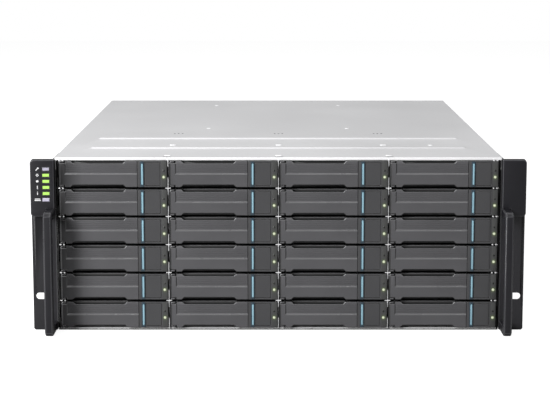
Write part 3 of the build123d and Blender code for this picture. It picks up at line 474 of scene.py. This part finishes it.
# The eased edges are coloured lighter than the moulding: partly wear, partly painted highlight.
moulding_wear_and_highlight = moulded_finish("moulding_wear_and_highlight", (0.05, 0.05, 0.055), 0.28, strength=0.05)
for side in ("left", "right"):
    eased_copy(f"{side}_ear_cover", 0.00035, ear_moulding, moulding_wear_and_highlight)
    eased_copy(f"{side}_handle", 0.0005, ear_moulding, moulding_wear_and_highlight)

# Status panel: five lamp lenses and a service button, with small printed marks beside them.
# The top lens is unlit and pale; the four below glow lime green through fine upright prisms.
PALE_LENS_LEVEL = 0.158
PRISM_PITCH = 0.0011
LIT_LENS, PALE_LENS, LENS_RIM = (0.25, 0.50, 0.08, 1), (0.42, 0.40, 0.50, 1), (0.02, 0.035, 0.012, 1)
LENS_GLOW, NO_GLOW = (0.31, 0.46, 0.10, 1), (0, 0, 0, 1)
LENS_PITCH = 0.006
LIT_WIDTH, LIT_HEIGHT = 0.0064, 0.0028


def lens_finish(name, level, middle):
    """Clear lenses over lamps: pale above a level, and below it lit, brighter along fine prisms.
    Only a window round each lens's middle is bright; the rim round it is dark."""
    material, tree, output = new_material(name)
    place = add_node(tree, "ShaderNodeTexCoord").outputs["Object"]
    split = add_node(tree, "ShaderNodeSeparateXYZ", {0: place}).outputs
    rows = calculate(tree, "DIVIDE", calculate(tree, "SUBTRACT", split[2], middle[2]), LENS_PITCH)
    off_row = calculate(tree, "ABSOLUTE", calculate(tree, "SUBTRACT", rows, calculate(tree, "ROUND", rows)))
    off_middle = calculate(tree, "ABSOLUTE", calculate(tree, "SUBTRACT", split[0], middle[0]))
    in_row = calculate(tree, "LESS_THAN", off_row, LIT_HEIGHT / 2 / LENS_PITCH)
    window = calculate(tree, "MULTIPLY", in_row, calculate(tree, "LESS_THAN", off_middle, LIT_WIDTH / 2))
    above = calculate(tree, "GREATER_THAN", split[2], level)
    prisms = calculate(tree, "SINE", calculate(tree, "MULTIPLY", split[0], 2 * pi / PRISM_PITCH))
    shine = calculate(tree, "MULTIPLY_ADD", prisms, 0.12, 0.88)
    base = blend_colours(tree, window, LENS_RIM, blend_colours(tree, above, LIT_LENS, PALE_LENS))
    light = blend_colours(tree, window, NO_GLOW, blend_colours(tree, above, LENS_GLOW, NO_GLOW))
    use_shader(tree, output, {
        **cloudy(tree, base, 0.05, 60.0, 0.25, 0.05), "Emission Color": scale_colour(tree, light, shine),
        "Emission Strength": 1.0,
    })
    return material


lens_low, lens_high = corners("indicator_lenses")
lens_height = (corners("service_button")[1] - corners("service_button")[0])[2]
lens_middle = ((lens_low[0] + lens_high[0]) / 2, 0, lens_high[2] - lens_height / 2)
panel_lens = lens_finish("panel_lens", PALE_LENS_LEVEL, lens_middle)
dress(panel_lens, "indicator_lenses")
service_key = moulded_finish("service_key", (0.50, 0.48, 0.60), 0.4)
dress(service_key, "service_button")
print_white = moulded_finish("print_white", (0.75, 0.75, 0.76), 0.5, strength=0.03, drift=0.03)
MARK_RISE = 0.00012
MARK_GAP = 0.0048
PANEL_ROWS = 6
panel_y = corners("left_ear_cover")[0][1]
mark_x = lens_low[0] - MARK_GAP
mark_z = lens_middle[2] - LENS_PITCH * np.arange(PANEL_ROWS)


def turned_face(degrees):
    """The front face's directions, turned in its own plane."""
    c, s = cos(radians(degrees)), sin(radians(degrees))
    return np.array([(c, 0, s), (-s, 0, c), (0, -1, 0)])


def mark_at(row, across=0.0, up=0.0):
    """A place on the cover's front face, from the middle of a row's mark."""
    return mark_x + across, panel_y, mark_z[row] + up


def mark_bar(row, across, up, width, height, degrees=0):
    """A short printed bar with rounded ends."""
    corner = min(width, height) * 0.45
    return pad(width, height, corner, MARK_RISE, mark_at(row, across, up), turned_face(degrees), 0, 2)


def mark_frame(row, size, width, corner, degrees=0):
    """A printed frame: a thin closed profile carried round a rounded square."""
    profile = [(0, -FOOT_DEPTH), (0, MARK_RISE), (-width, MARK_RISE), (-width, -FOOT_DEPTH)]
    outline = rounded_outline(size, size, corner)
    return carried(outline, profile, mark_at(row), turned_face(degrees), 0, closed=True)


panel_marks = [
    mark_bar(0, -0.0004, -0.0004, 0.0030, 0.0009, 45), mark_bar(0, 0.0008, 0.0008, 0.0017, 0.0017),
    mark_frame(1, 0.0024, 0.0006, 0.0004, 45),
    mark_bar(2, 0, 0, 0.0027, 0.0021, 20),
    mark_bar(3, 0, 0.0002, 0.0008, 0.0030), mark_bar(3, 0, -0.0011, 0.0013, 0.0013),
    mark_bar(4, 0, -0.0003, 0.0009, 0.0021), mark_bar(4, 0, 0.0014, 0.0009, 0.0009),
    mark_bar(5, 0, 0.0006, 0.0055, 0.0008), mark_bar(5, 0, -0.0008, 0.0062, 0.0010),
]
build_piece("panel_marks", "chassis", (print_white,), panel_marks)

# Drive trays: dark grey satin mouldings, each with a lever, a button, an insert and a lamp strip.
# The top row's levers and buttons move, so they are pieces of their own; the others are in their tray.
# Painted shade: the bezels' colour falls off towards the ears at each end of the front.
FRONT_HALF, LEFT_RISE, RIGHT_RISE, LEAST_SHARE = 0.214, 42.0, 110.0, 0.03


def make_painted_end_shade():
    """Group: painted shade, as the share of a bezel's colour that is left: it falls off towards each end of
    the front.
    """
    inputs = {"End": FRONT_HALF, "Left rise": LEFT_RISE, "Right rise": RIGHT_RISE, "Least": LEAST_SHARE}
    group, start, end = new_group("painted_end_shade", inputs, {"Share": "NodeSocketFloat"})
    place = add_node(group, "ShaderNodeTexCoord").outputs["Object"]
    across = add_node(group, "ShaderNodeSeparateXYZ", {0: place}).outputs[0]
    from_left = calculate(group, "ADD", start.outputs["End"], across)
    from_right = calculate(group, "SUBTRACT", start.outputs["End"], across)
    least = start.outputs["Least"]
    left = calculate(group, "MULTIPLY_ADD", from_left, start.outputs["Left rise"], least)
    right = calculate(group, "MULTIPLY_ADD", from_right, start.outputs["Right rise"], least)
    darker = calculate(group, "MINIMUM", calculate(group, "MINIMUM", left, right), 1.0)
    group.links.new(calculate(group, "MAXIMUM", darker, least), end.inputs["Share"])
    return group


PAINTED_END_SHADE = make_painted_end_shade()


def bezel_finish(name, colour):
    """Satin bezel moulding with a fine grain and painted shade, darker towards the ears, which stand proud
    beside it.
    """
    material, tree, output = new_material(name)
    shaded = scale_colour(tree, colour, use_group(tree, PAINTED_END_SHADE)["Share"])
    height = use_group(tree, MOULDING_GRAIN, Scale=800.0, Coarse=0.4)["Height"]
    use_shader(tree, output, {
        **cloudy(tree, shaded, 0.12, 30.0, 0.40, 0.1), "Normal": bumped(tree, height, 0.08, 0.0003),
        "Specular IOR Level": 0.3,
    })
    return material


tray_moulding = bezel_finish("tray_moulding", (0.086, 0.085, 0.090))
tray_pillar = bezel_finish("tray_pillar", (0.060, 0.060, 0.063))
# Painted light on the eased tray edges: lighter where they face forward and a little up, near-black where
# they face up.
PLAIN_EDGE, PAINTED_HIGHLIGHT_EDGE, PAINTED_SHADE_EDGE = (0.06, 0.06, 0.062, 1), (0.16, 0.16, 0.165, 1), (0.008, 0.008, 0.0085, 1)
HIGHLIGHT_FROM, SHADE_FROM = 0.2, 0.75


def edge_highlight_and_shade_finish(name):
    """Eased edge of a moulding: painted highlight where it faces forward and a little up, painted shade
    where it faces up.
    """
    material, tree, output = new_material(name)
    facing = add_node(tree, "ShaderNodeNewGeometry").outputs["True Normal"]
    upward = add_node(tree, "ShaderNodeSeparateXYZ", {0: facing}).outputs[2]
    highlit = calculate(tree, "GREATER_THAN", upward, HIGHLIGHT_FROM)
    top = calculate(tree, "GREATER_THAN", upward, SHADE_FROM)
    colour = blend_colours(tree, top, blend_colours(tree, highlit, PLAIN_EDGE, PAINTED_HIGHLIGHT_EDGE), PAINTED_SHADE_EDGE)
    use_shader(tree, output, cloudy(tree, colour, 0.1, 30.0, 0.28, 0.05))
    return material


tray_edge_painted_light = edge_highlight_and_shade_finish("tray_edge_painted_light")
# Painted shade: darker copies of the moulding for the sloped ledges, the top faces in the gaps, the recessed
# plate and the left-end chamfer.
tray_ledge_painted_shade = moulded_finish("tray_ledge_painted_shade", (0.06, 0.06, 0.062), 0.5, strength=0.03)
tray_top_painted_shade = moulded_finish("tray_top_painted_shade", (0.008, 0.008, 0.0085), 0.6)
tray_plate_painted_shade = moulded_finish("tray_plate_painted_shade", (0.024, 0.024, 0.025), 0.5)
drive_case = sheet_finish("drive_case", (0.62, 0.63, 0.64), 0.35, 0.7)
TRAY_EASE = 0.0005
LEDGE_TILT, LEDGE_UP = 0.5, 0.95
DRIVE_START, DRIVE_LENGTH, DRIVE_HALF_WIDTH = 0.019, 0.147, 0.0509
PLATE_DEPTH, PLATE_END, BEZEL_DEPTH, PILLAR_START = 0.0040, 0.0195, 0.0092, 0.0772


def finish_tray_faces(piece, corner):
    """Other finishes by face: painted shade on the sloped ledges, the top faces, the plate behind the lever
    and the bezel's chamfered left end; the pillar and the drive get their own.
    """
    def choose(centres, normals):
        across, depth = centres[:, 0] - corner[0], centres[:, 1] - corner[1]
        ledge = (normals[:, 2] > LEDGE_TILT) & (normals[:, 1] < -LEDGE_TILT)
        drive = (depth > PLATE_END) & (np.abs(across - tray_size[0] / 2) < DRIVE_HALF_WIDTH)
        shade = (normals[:, 2] > LEDGE_UP) & (depth < BEZEL_DEPTH)
        end = (normals[:, 0] < -LEDGE_TILT) & (normals[:, 1] < -LEDGE_TILT)
        plate = end | (depth > PLATE_DEPTH) & (depth < PLATE_END)
        pillar = (across > PILLAR_START) & (depth < BEZEL_DEPTH)
        return np.select([shade, ledge, drive, plate, pillar], [6, 3, 2, 4, 5], 0)

    refinish(piece, choose)


def blue_insert_finish():
    """Smoked blue moulding with a glossy skin."""
    material, tree, output = new_material("blue_insert")
    colour = (0.028, 0.048, 0.066, 1)
    use_shader(tree, output, {**cloudy(tree, colour, 0.15, 40.0, 0.22, 0.05), "Coat Weight": 0.3})
    return material


def glow_finish(name, base, glow, reach, strength):
    """A moulding lit from within: its glow falls off with distance from the lamp, the map's origin."""
    material, tree, output = new_material(name)
    place = add_node(tree, "ShaderNodeUVMap", uv_map="from_lamp").outputs[0]
    away = add_node(tree, "ShaderNodeVectorMath", {0: place}, operation="LENGTH").outputs["Value"]
    nearness = calculate(tree, "SUBTRACT", 1.0, calculate(tree, "DIVIDE", away, reach))
    share = calculate(tree, "POWER", calculate(tree, "MAXIMUM", 0.0, nearness), 2.0)
    use_shader(tree, output, {
        **cloudy(tree, (*base, 1), 0.1, 40.0, 0.3, 0.05), "Emission Color": scale_colour(tree, glow, share),
        "Emission Strength": strength,
    })
    return material


blue_insert = blue_insert_finish()
stripe_light = moulded_finish("stripe_light", (0.27, 0.46, 0.55), 0.3, strength=0.02, drift=0.05)
lamp_strip = glow_finish("lamp_strip", (0.055, 0.056, 0.055), (0.10, 0.16, 0.02), 0.0042, 0.8)
lamp_dome = glow_finish("lamp_dome", (0.25, 0.28, 0.18), (0.62, 0.66, 0.50), 0.0030, 1.1)
dark_lamp = moulded_finish("dark_lamp", (0.02, 0.02, 0.018), 0.2, strength=0.02)
COPY_FINISHES = (tray_moulding, tray_edge_painted_light, drive_case, tray_ledge_painted_shade, tray_plate_painted_shade, tray_pillar, tray_top_painted_shade)
TRAY_FINISHES = (tray_moulding, blue_insert, stripe_light, lamp_strip, lamp_dome, dark_lamp, drive_case)

INSERT_MIDDLE, INSERT_WIDTH = 0.0815, 0.0036
STRIPE_MIDDLE, STRIPE_WIDTH, STRIPE_HEIGHT, STRIPE_RISE = 0.0817, 0.0016, 0.0208, 0.0003
STRIP_MIDDLE, STRIP_WIDTH = 0.1029, 0.0050
LAMP_MIDDLE, LAMP_DROP, LAMP_RADIUS = 0.1027, 0.0157, 0.0014
DARK_LAMP_DROP, DARK_LAMP_RADIUS = 0.0094, 0.0010
RIB_START, RIB_END, RIB_FIRST, RIB_PITCH, RIB_COUNT = 0.0075, 0.0762, 0.0017, 0.0020, 5
RIB_WIDTH, RIB_RISE, STEP_DEPTH = 0.0005, 0.00022, 0.0006
LID_MARGIN, LID_RISE, LID_CORNER = 0.0018, 0.00030, 0.0030
SPINDLE_RADIUS, SPINDLE_SETBACK, BOSS_RISE = 0.0120, 0.065, 0.0001
LID_SCREW_RADIUS, LID_SCREW_INSET_X, LID_SCREW_INSET_Y = 0.0016, 0.005, 0.006
TRIM_MARGIN, TRIM_CORNER, INSERT_RISE, STRIP_RISE = 0.0006, 0.0004, 0.0004, 0.0003
LAMP_RISE, DARK_LAMP_RISE = 0.0007, 0.0004
lever_low, lever_high = corners("tray_lever_c1")
first_low, first_high = corners("tray_r1_c1")
bezel_height = lever_high[2] - lever_low[2]
bezel_lift = lever_low[2] - first_low[2]
bezel_depth = lever_low[1] - first_low[1]
tray_size = first_high - first_low


def lever_ribs():
    """Five low ribs along the set-back upper half of a lever."""
    length = RIB_END - RIB_START
    levels = bezel_height / 2 + RIB_FIRST + RIB_PITCH * np.arange(RIB_COUNT)
    places = [(RIB_START + length / 2, STEP_DEPTH, z) for z in levels]
    return [pad(length, RIB_WIDTH, RIB_WIDTH * 0.45, RIB_RISE, place, FRONT_FACE, 0, 1) for place in places]


def tray_trim():
    """The fixed trim of one tray, from its bezel's lower left corner: insert, stripe, lamp strip, lamps
    and the drive's pressed lid with its spindle boss and screws."""
    middle = bezel_height / 2
    height = bezel_height - TRIM_MARGIN
    lamp = (LAMP_MIDDLE, -STRIP_RISE, bezel_height - LAMP_DROP)
    dark_lamp_place = (LAMP_MIDDLE, -STRIP_RISE, bezel_height - DARK_LAMP_DROP)
    stripe = (STRIPE_MIDDLE, -INSERT_RISE, middle)
    lid_width, lid_length = 2 * DRIVE_HALF_WIDTH - 2 * LID_MARGIN, DRIVE_LENGTH - 2 * LID_MARGIN
    lid_place = np.array([tray_size[0] / 2, DRIVE_START + DRIVE_LENGTH / 2, tray_size[2] - bezel_lift])
    boss = lid_place + (0, SPINDLE_SETBACK - DRIVE_LENGTH / 2, LID_RISE)
    sheets = [
        pad(INSERT_WIDTH, height, TRIM_CORNER, INSERT_RISE, (INSERT_MIDDLE, 0, middle), FRONT_FACE, 1),
        pad(STRIPE_WIDTH, STRIPE_HEIGHT, STRIPE_WIDTH * 0.49, STRIPE_RISE, stripe, FRONT_FACE, 2),
        pad(STRIP_WIDTH, height, TRIM_CORNER, STRIP_RISE, (STRIP_MIDDLE, 0, middle), FRONT_FACE, 3),
        dome(LAMP_RADIUS, LAMP_RISE, lamp, FRONT_FACE, 4),
        dome(DARK_LAMP_RADIUS, DARK_LAMP_RISE, dark_lamp_place, FRONT_FACE, 5),
        pad(lid_width, lid_length, LID_CORNER, LID_RISE, lid_place, TOP_FACE, 6),
        pad(2 * SPINDLE_RADIUS, 2 * SPINDLE_RADIUS, SPINDLE_RADIUS, BOSS_RISE, boss, TOP_FACE, 6),
    ]
    reach_x, reach_y = lid_width / 2 - LID_SCREW_INSET_X, lid_length / 2 - LID_SCREW_INSET_Y
    for x in (-1, 1):
        for y in (-1, 0, 1):
            place = lid_place + (x * reach_x, y * reach_y, LID_RISE)
            sheets.append(dome(LID_SCREW_RADIUS, BOSS_RISE, place, TOP_FACE, 6, 2))
    return sheets


def map_from_lamp(piece, place):
    """The piece's map: across and up from the tray's lamp, in metres."""
    mesh = piece.data
    points = np.empty(len(mesh.vertices) * 3)
    mesh.vertices.foreach_get("co", points)
    used = np.empty(len(mesh.loops), dtype=np.int32)
    mesh.loops.foreach_get("vertex_index", used)
    flat = (points.reshape(-1, 3)[:, [0, 2]] - np.array([place[0], place[2]]))[used]
    layer = mesh.uv_layers.new(name="from_lamp")
    layer.data.foreach_set("uv", flat.ravel())


trim_sheets, rib_sheets = tray_trim(), lever_ribs()
for node in sorted(name for name in frame["nodes"] if name.startswith("tray_r")):
    low, high = corners(node)
    corner = np.array([low[0], low[1] + bezel_depth, low[2] + bezel_lift])
    closed_lever = node[6] != "1"
    finish_tray_faces(eased_copy(node, TRAY_EASE, *COPY_FINISHES), corner)
    sheets = trim_sheets + (rib_sheets if closed_lever else [])
    trim = build_piece(f"{node}_trim", node, TRAY_FINISHES, sheets, corner)
    map_from_lamp(trim, corner + (LAMP_MIDDLE, 0, bezel_height - LAMP_DROP))
    if not closed_lever:
        column = node[-2:]
        lever = f"tray_lever_{column}"
        finish_tray_faces(eased_copy(lever, TRAY_EASE, *COPY_FINISHES), corner)
        build_piece(f"{lever}_ribs", lever, TRAY_FINISHES, rib_sheets, corner)
        eased_copy(f"release_button_{column}", TRAY_EASE, tray_pillar, tray_edge_painted_light)

# Controllers: plain steel canisters with a lip round every port, plated contacts and small lamps.
# Ports are soldered to the board inside; each canister's black lever turns on a pin between two lugs.
REAR_FACE = np.array([(-1, 0, 0), (0, 0, 1), (0, 1, 0)], dtype=float)
module_steel = sheet_finish("module_steel", (0.55, 0.55, 0.56), 0.36, 0.6)
module_edge = sheet_finish("module_edge", (0.75, 0.75, 0.76), 0.28, 0.6)
plated_lip = sheet_finish("plated_lip", (0.70, 0.70, 0.71), 0.25, 0.9)
gold_contact = sheet_finish("gold_contact", (0.75, 0.52, 0.18), 0.25, 0.9)
rear_lamp = moulded_finish("rear_lamp", (0.10, 0.40, 0.08), 0.25, strength=0.02)
LIP_WIDTH, LIP_RISE, LIP_CORNER, LIP_PLAY = 0.0009, 0.0006, 0.0006, 0.0003
TONGUE_SETBACK, TONGUE_LENGTH, TONGUE_HEIGHT, TONGUE_EASE = 0.018, 0.011, 0.0012, 0.0002
PORT_LAMP, PORT_LAMP_ABOVE = (0.0010, 0.0006), 0.0032
openings = {item["name"]: np.array(item["box_m"]) for item in frame["record"]["physics"]["openings"]}


def port_pieces(opening, rear_y):
    """A plated lip round a port's mouth, a contact tongue inside it and a lamp above it."""
    low, high = opening
    width, height = high[0] - low[0], high[2] - low[2]
    middle = np.array([(low[0] + high[0]) / 2, rear_y, (low[2] + high[2]) / 2])
    lip = rounded_outline(width + LIP_PLAY, height + LIP_PLAY, LIP_CORNER)
    lip_profile = [
        (0, 0), (0, LIP_RISE), (LIP_WIDTH * 0.7, LIP_RISE), (LIP_WIDTH, LIP_RISE * 0.5), (LIP_WIDTH, 0)]
    tongue = rounded_outline(width * 0.7, TONGUE_HEIGHT, TONGUE_HEIGHT / 4)
    tongue_profile = [(0, 0), (0, TONGUE_LENGTH), (-TONGUE_EASE, TONGUE_LENGTH + TONGUE_EASE)]
    return [
        carried(lip, lip_profile, middle, REAR_FACE, 0, closed=True),
        carried(tongue, tongue_profile, middle - (0, TONGUE_SETBACK, 0), REAR_FACE, 1),
        dome(*PORT_LAMP, middle + (0, 0, height / 2 + PORT_LAMP_ABOVE), REAR_FACE, 2),
    ]


for side in ("left", "right"):
    eased_copy(f"{side}_controller", 0.0003, module_steel, module_edge)
    eased_copy(f"{side}_controller_lever", 0.0006, ear_moulding, moulding_wear_and_highlight)
    rear_y = cover_high[1]
    ports = [piece for name, box in openings.items() if name.startswith(side) and "port" in name
             for piece in port_pieces(box, rear_y)]
    finishes = (plated_lip, gold_contact, rear_lamp)
    build_piece(f"{side}_controller_ports", f"{side}_controller", finishes, ports)

# Power modules: steel cans with a black mains inlet, a wire guard over the fan and a coloured latch.
# The inlet's liner is moulded, its three blades are plated, and the guard's rings are welded to its bars.
inlet_moulding = moulded_finish("inlet_moulding", (0.022, 0.022, 0.024), 0.4)
latch_colour = moulded_finish("latch_colour", (0.03, 0.20, 0.15), 0.4)
guard_wire = sheet_finish("guard_wire", (0.60, 0.60, 0.61), 0.3, 0.8)
LINER_LIP, LINER_WALL, LINER_DEPTH = 0.0016, 0.0004, 0.0150
GUARD_RINGS, GUARD_WIRE_RADIUS, GUARD_SETBACK = (0.013, 0.025, 0.037), 0.0007, 0.001
BLADES_SETBACK, BLADE_REACH = 0.0095, np.array([0.009, 0.006, 0.0025])
LINER_CORNER = 0.0015
REAR_LAMP, REAR_LAMP_ACROSS, REAR_LAMP_ABOVE = (0.0012, 0.0007), 0.006, 0.0245
for side in ("left", "right"):
    module = f"{side}_power_module"
    low, high = openings[f"{side}_mains_inlet"]
    inlet = np.array([(low[0] + high[0]) / 2, rear_y, (low[2] + high[2]) / 2])
    can = eased_copy(module, 0.0003, module_steel, module_edge, plated_lip)
    centres = np.empty(len(can.data.polygons) * 3)
    can.data.polygons.foreach_get("center", centres)
    away = np.abs(centres.reshape(-1, 3) - (inlet - (0, BLADES_SETBACK, 0)))
    blades = np.all(away < BLADE_REACH, axis=1)
    can.data.polygons.foreach_set("material_index", (blades * 2).astype(np.int32))
    liner = [(0, 0.0), (0, LIP_RISE), (LINER_LIP, LIP_RISE), (LINER_LIP, 0.0), (LINER_WALL, 0.0),
             (LINER_WALL, -LINER_DEPTH), (0, -LINER_DEPTH)]
    size = high - low
    mouth = rounded_outline(size[0], size[2], LINER_CORNER)
    fittings = [carried(mouth, liner, inlet, REAR_FACE, 0, closed=True)]
    fan_low, fan_high = corners(f"{side}_fan_rotor")
    hub = np.array([(fan_low[0] + fan_high[0]) / 2, rear_y - GUARD_SETBACK, (fan_low[2] + fan_high[2]) / 2])
    wire_turn = np.linspace(0, 2 * pi, 8, endpoint=False)
    wire = GUARD_WIRE_RADIUS * np.stack([np.cos(wire_turn), np.sin(wire_turn)], axis=-1)
    for radius in GUARD_RINGS:
        ring = rounded_outline(2 * radius, 2 * radius, radius, 12)
        fittings.append(carried(ring, wire, hub, REAR_FACE, 1, closed=True))
    for step in (-1, 1):
        place = inlet + (step * REAR_LAMP_ACROSS, 0, REAR_LAMP_ABOVE)
        fittings.append(dome(*REAR_LAMP, place, REAR_FACE, 2))
    build_piece(f"{side}_power_fittings", module, (inlet_moulding, guard_wire, rear_lamp), fittings)
    eased_copy(f"{side}_fan_rotor", 0.0002, black_nylon, black_nylon)
    eased_copy(f"{side}_power_latch", 0.0004, latch_colour, latch_colour)

# Screws: zinc-plated heads on the cover's flanges and behind the ears.
# Plating leaves them bright and a little cloudy, with fine lines in the faces.
zinc_plate = sheet_finish("zinc_plate", (0.58, 0.58, 0.57), 0.32, 0.85)
dress(zinc_plate, "cover_screws", "handle_screws")

# Stage: a pale floor, a white surround for the camera and for reflections, and soft studio lamps.
# They stand for the photographer's white table and the two soft boxes above it and in front of it.
FLOOR_HALF, FLOOR_WHITE, SURROUND_LIGHT = 4.0, 0.86, 0.22
floor_corners = [(-FLOOR_HALF, -FLOOR_HALF, 0), (FLOOR_HALF, -FLOOR_HALF, 0), (FLOOR_HALF, FLOOR_HALF, 0),
                 (-FLOOR_HALF, FLOOR_HALF, 0)]
floor_mesh = bpy.data.meshes.new("floor")
floor_mesh.from_pydata(floor_corners, [], [(0, 1, 2, 3)])
floor = bpy.data.objects.new("floor", floor_mesh)
bpy.context.scene.collection.objects.link(floor)
floor_paint, floor_tree, floor_output = new_material("floor_paint")
floor_diffuse = add_node(floor_tree, "ShaderNodeBsdfDiffuse", {"Color": (0.45, 0.45, 0.45, 1)})
floor_white = add_node(floor_tree, "ShaderNodeEmission", {"Color": (1, 1, 1, 1), "Strength": FLOOR_WHITE})
floor_ray = add_node(floor_tree, "ShaderNodeLightPath").outputs
floor_seen = calculate(floor_tree, "MAXIMUM", floor_ray["Is Camera Ray"], floor_ray["Is Transmission Ray"])
floor_add = add_node(
    floor_tree, "ShaderNodeAddShader", {0: floor_diffuse.outputs[0], 1: floor_white.outputs[0]})
floor_mix = add_node(
    floor_tree, "ShaderNodeMixShader", {0: floor_seen, 1: floor_diffuse.outputs[0], 2: floor_add.outputs[0]})
floor_tree.links.new(floor_mix.outputs[0], floor_output.inputs[0])
floor_mesh.materials.append(floor_paint)

world = bpy.data.worlds.new("surround")
bpy.context.scene.world = world
world.use_nodes = True
surround = world.node_tree
surround.nodes.clear()
world_output = surround.nodes.new("ShaderNodeOutputWorld")
world_ray = add_node(surround, "ShaderNodeLightPath").outputs
world_seen = calculate(surround, "MAXIMUM", world_ray["Is Camera Ray"], world_ray["Is Transmission Ray"])
world_light = add_node(surround, "ShaderNodeBackground", {"Color": (1, 1, 1, 1), "Strength": SURROUND_LIGHT})
world_white = add_node(surround, "ShaderNodeBackground", {"Color": (1, 1, 1, 1), "Strength": 1.0})
world_mix = add_node(
    surround, "ShaderNodeMixShader", {0: world_seen, 1: world_light.outputs[0], 2: world_white.outputs[0]})
surround.links.new(world_mix.outputs[0], world_output.inputs[0])


def soft_lamp(name, place, target, size, power):
    """A rectangular soft box aimed at a point."""
    lamp = bpy.data.lights.new(name, "AREA")
    lamp.shape = "RECTANGLE"
    lamp.size, lamp.size_y = size
    lamp.energy = power
    holder = bpy.data.objects.new(name, lamp)
    bpy.context.scene.collection.objects.link(holder)
    holder.location = place
    holder.rotation_euler = (Vector(target) - Vector(place)).to_track_quat("-Z", "Y").to_euler()


soft_lamp("overhead", (0.0, -0.1, 2.0), (0, 0, 0.1), (2.2, 1.4), 22)
soft_lamp("front_fill", (-1.7, -1.8, 1.2), (0, -0.2, 0.1), (0.9, 1.2), 84)

# Camera: at the photograph's height and distance, tilted down, with a small shift for the framing.
# Its focal length and place were fitted to the rack panel's known width.
FOCAL_PIXELS = 1498.65
FRAME_WIDTH = 550.0
PITCH = radians(7.630)
HORIZON_SHIFT = 66.5
CAMERA_SIDE, CAMERA_DISTANCE, CAMERA_HEIGHT = -0.00326, 1.4434, 0.3825
camera_data = bpy.data.cameras.new("camera")
camera = bpy.data.objects.new("camera", camera_data)
bpy.context.scene.collection.objects.link(camera)
camera_data.sensor_width = 36.0
camera_data.lens = FOCAL_PIXELS / FRAME_WIDTH * camera_data.sensor_width
camera_data.shift_y = -HORIZON_SHIFT / FRAME_WIDTH
camera.location = (CAMERA_SIDE, front_y - CAMERA_DISTANCE, CAMERA_HEIGHT)
camera.rotation_euler = (pi / 2 - PITCH, 0, 0)
bpy.context.scene.camera = camera
bpy.context.scene.view_settings.view_transform = "Standard"
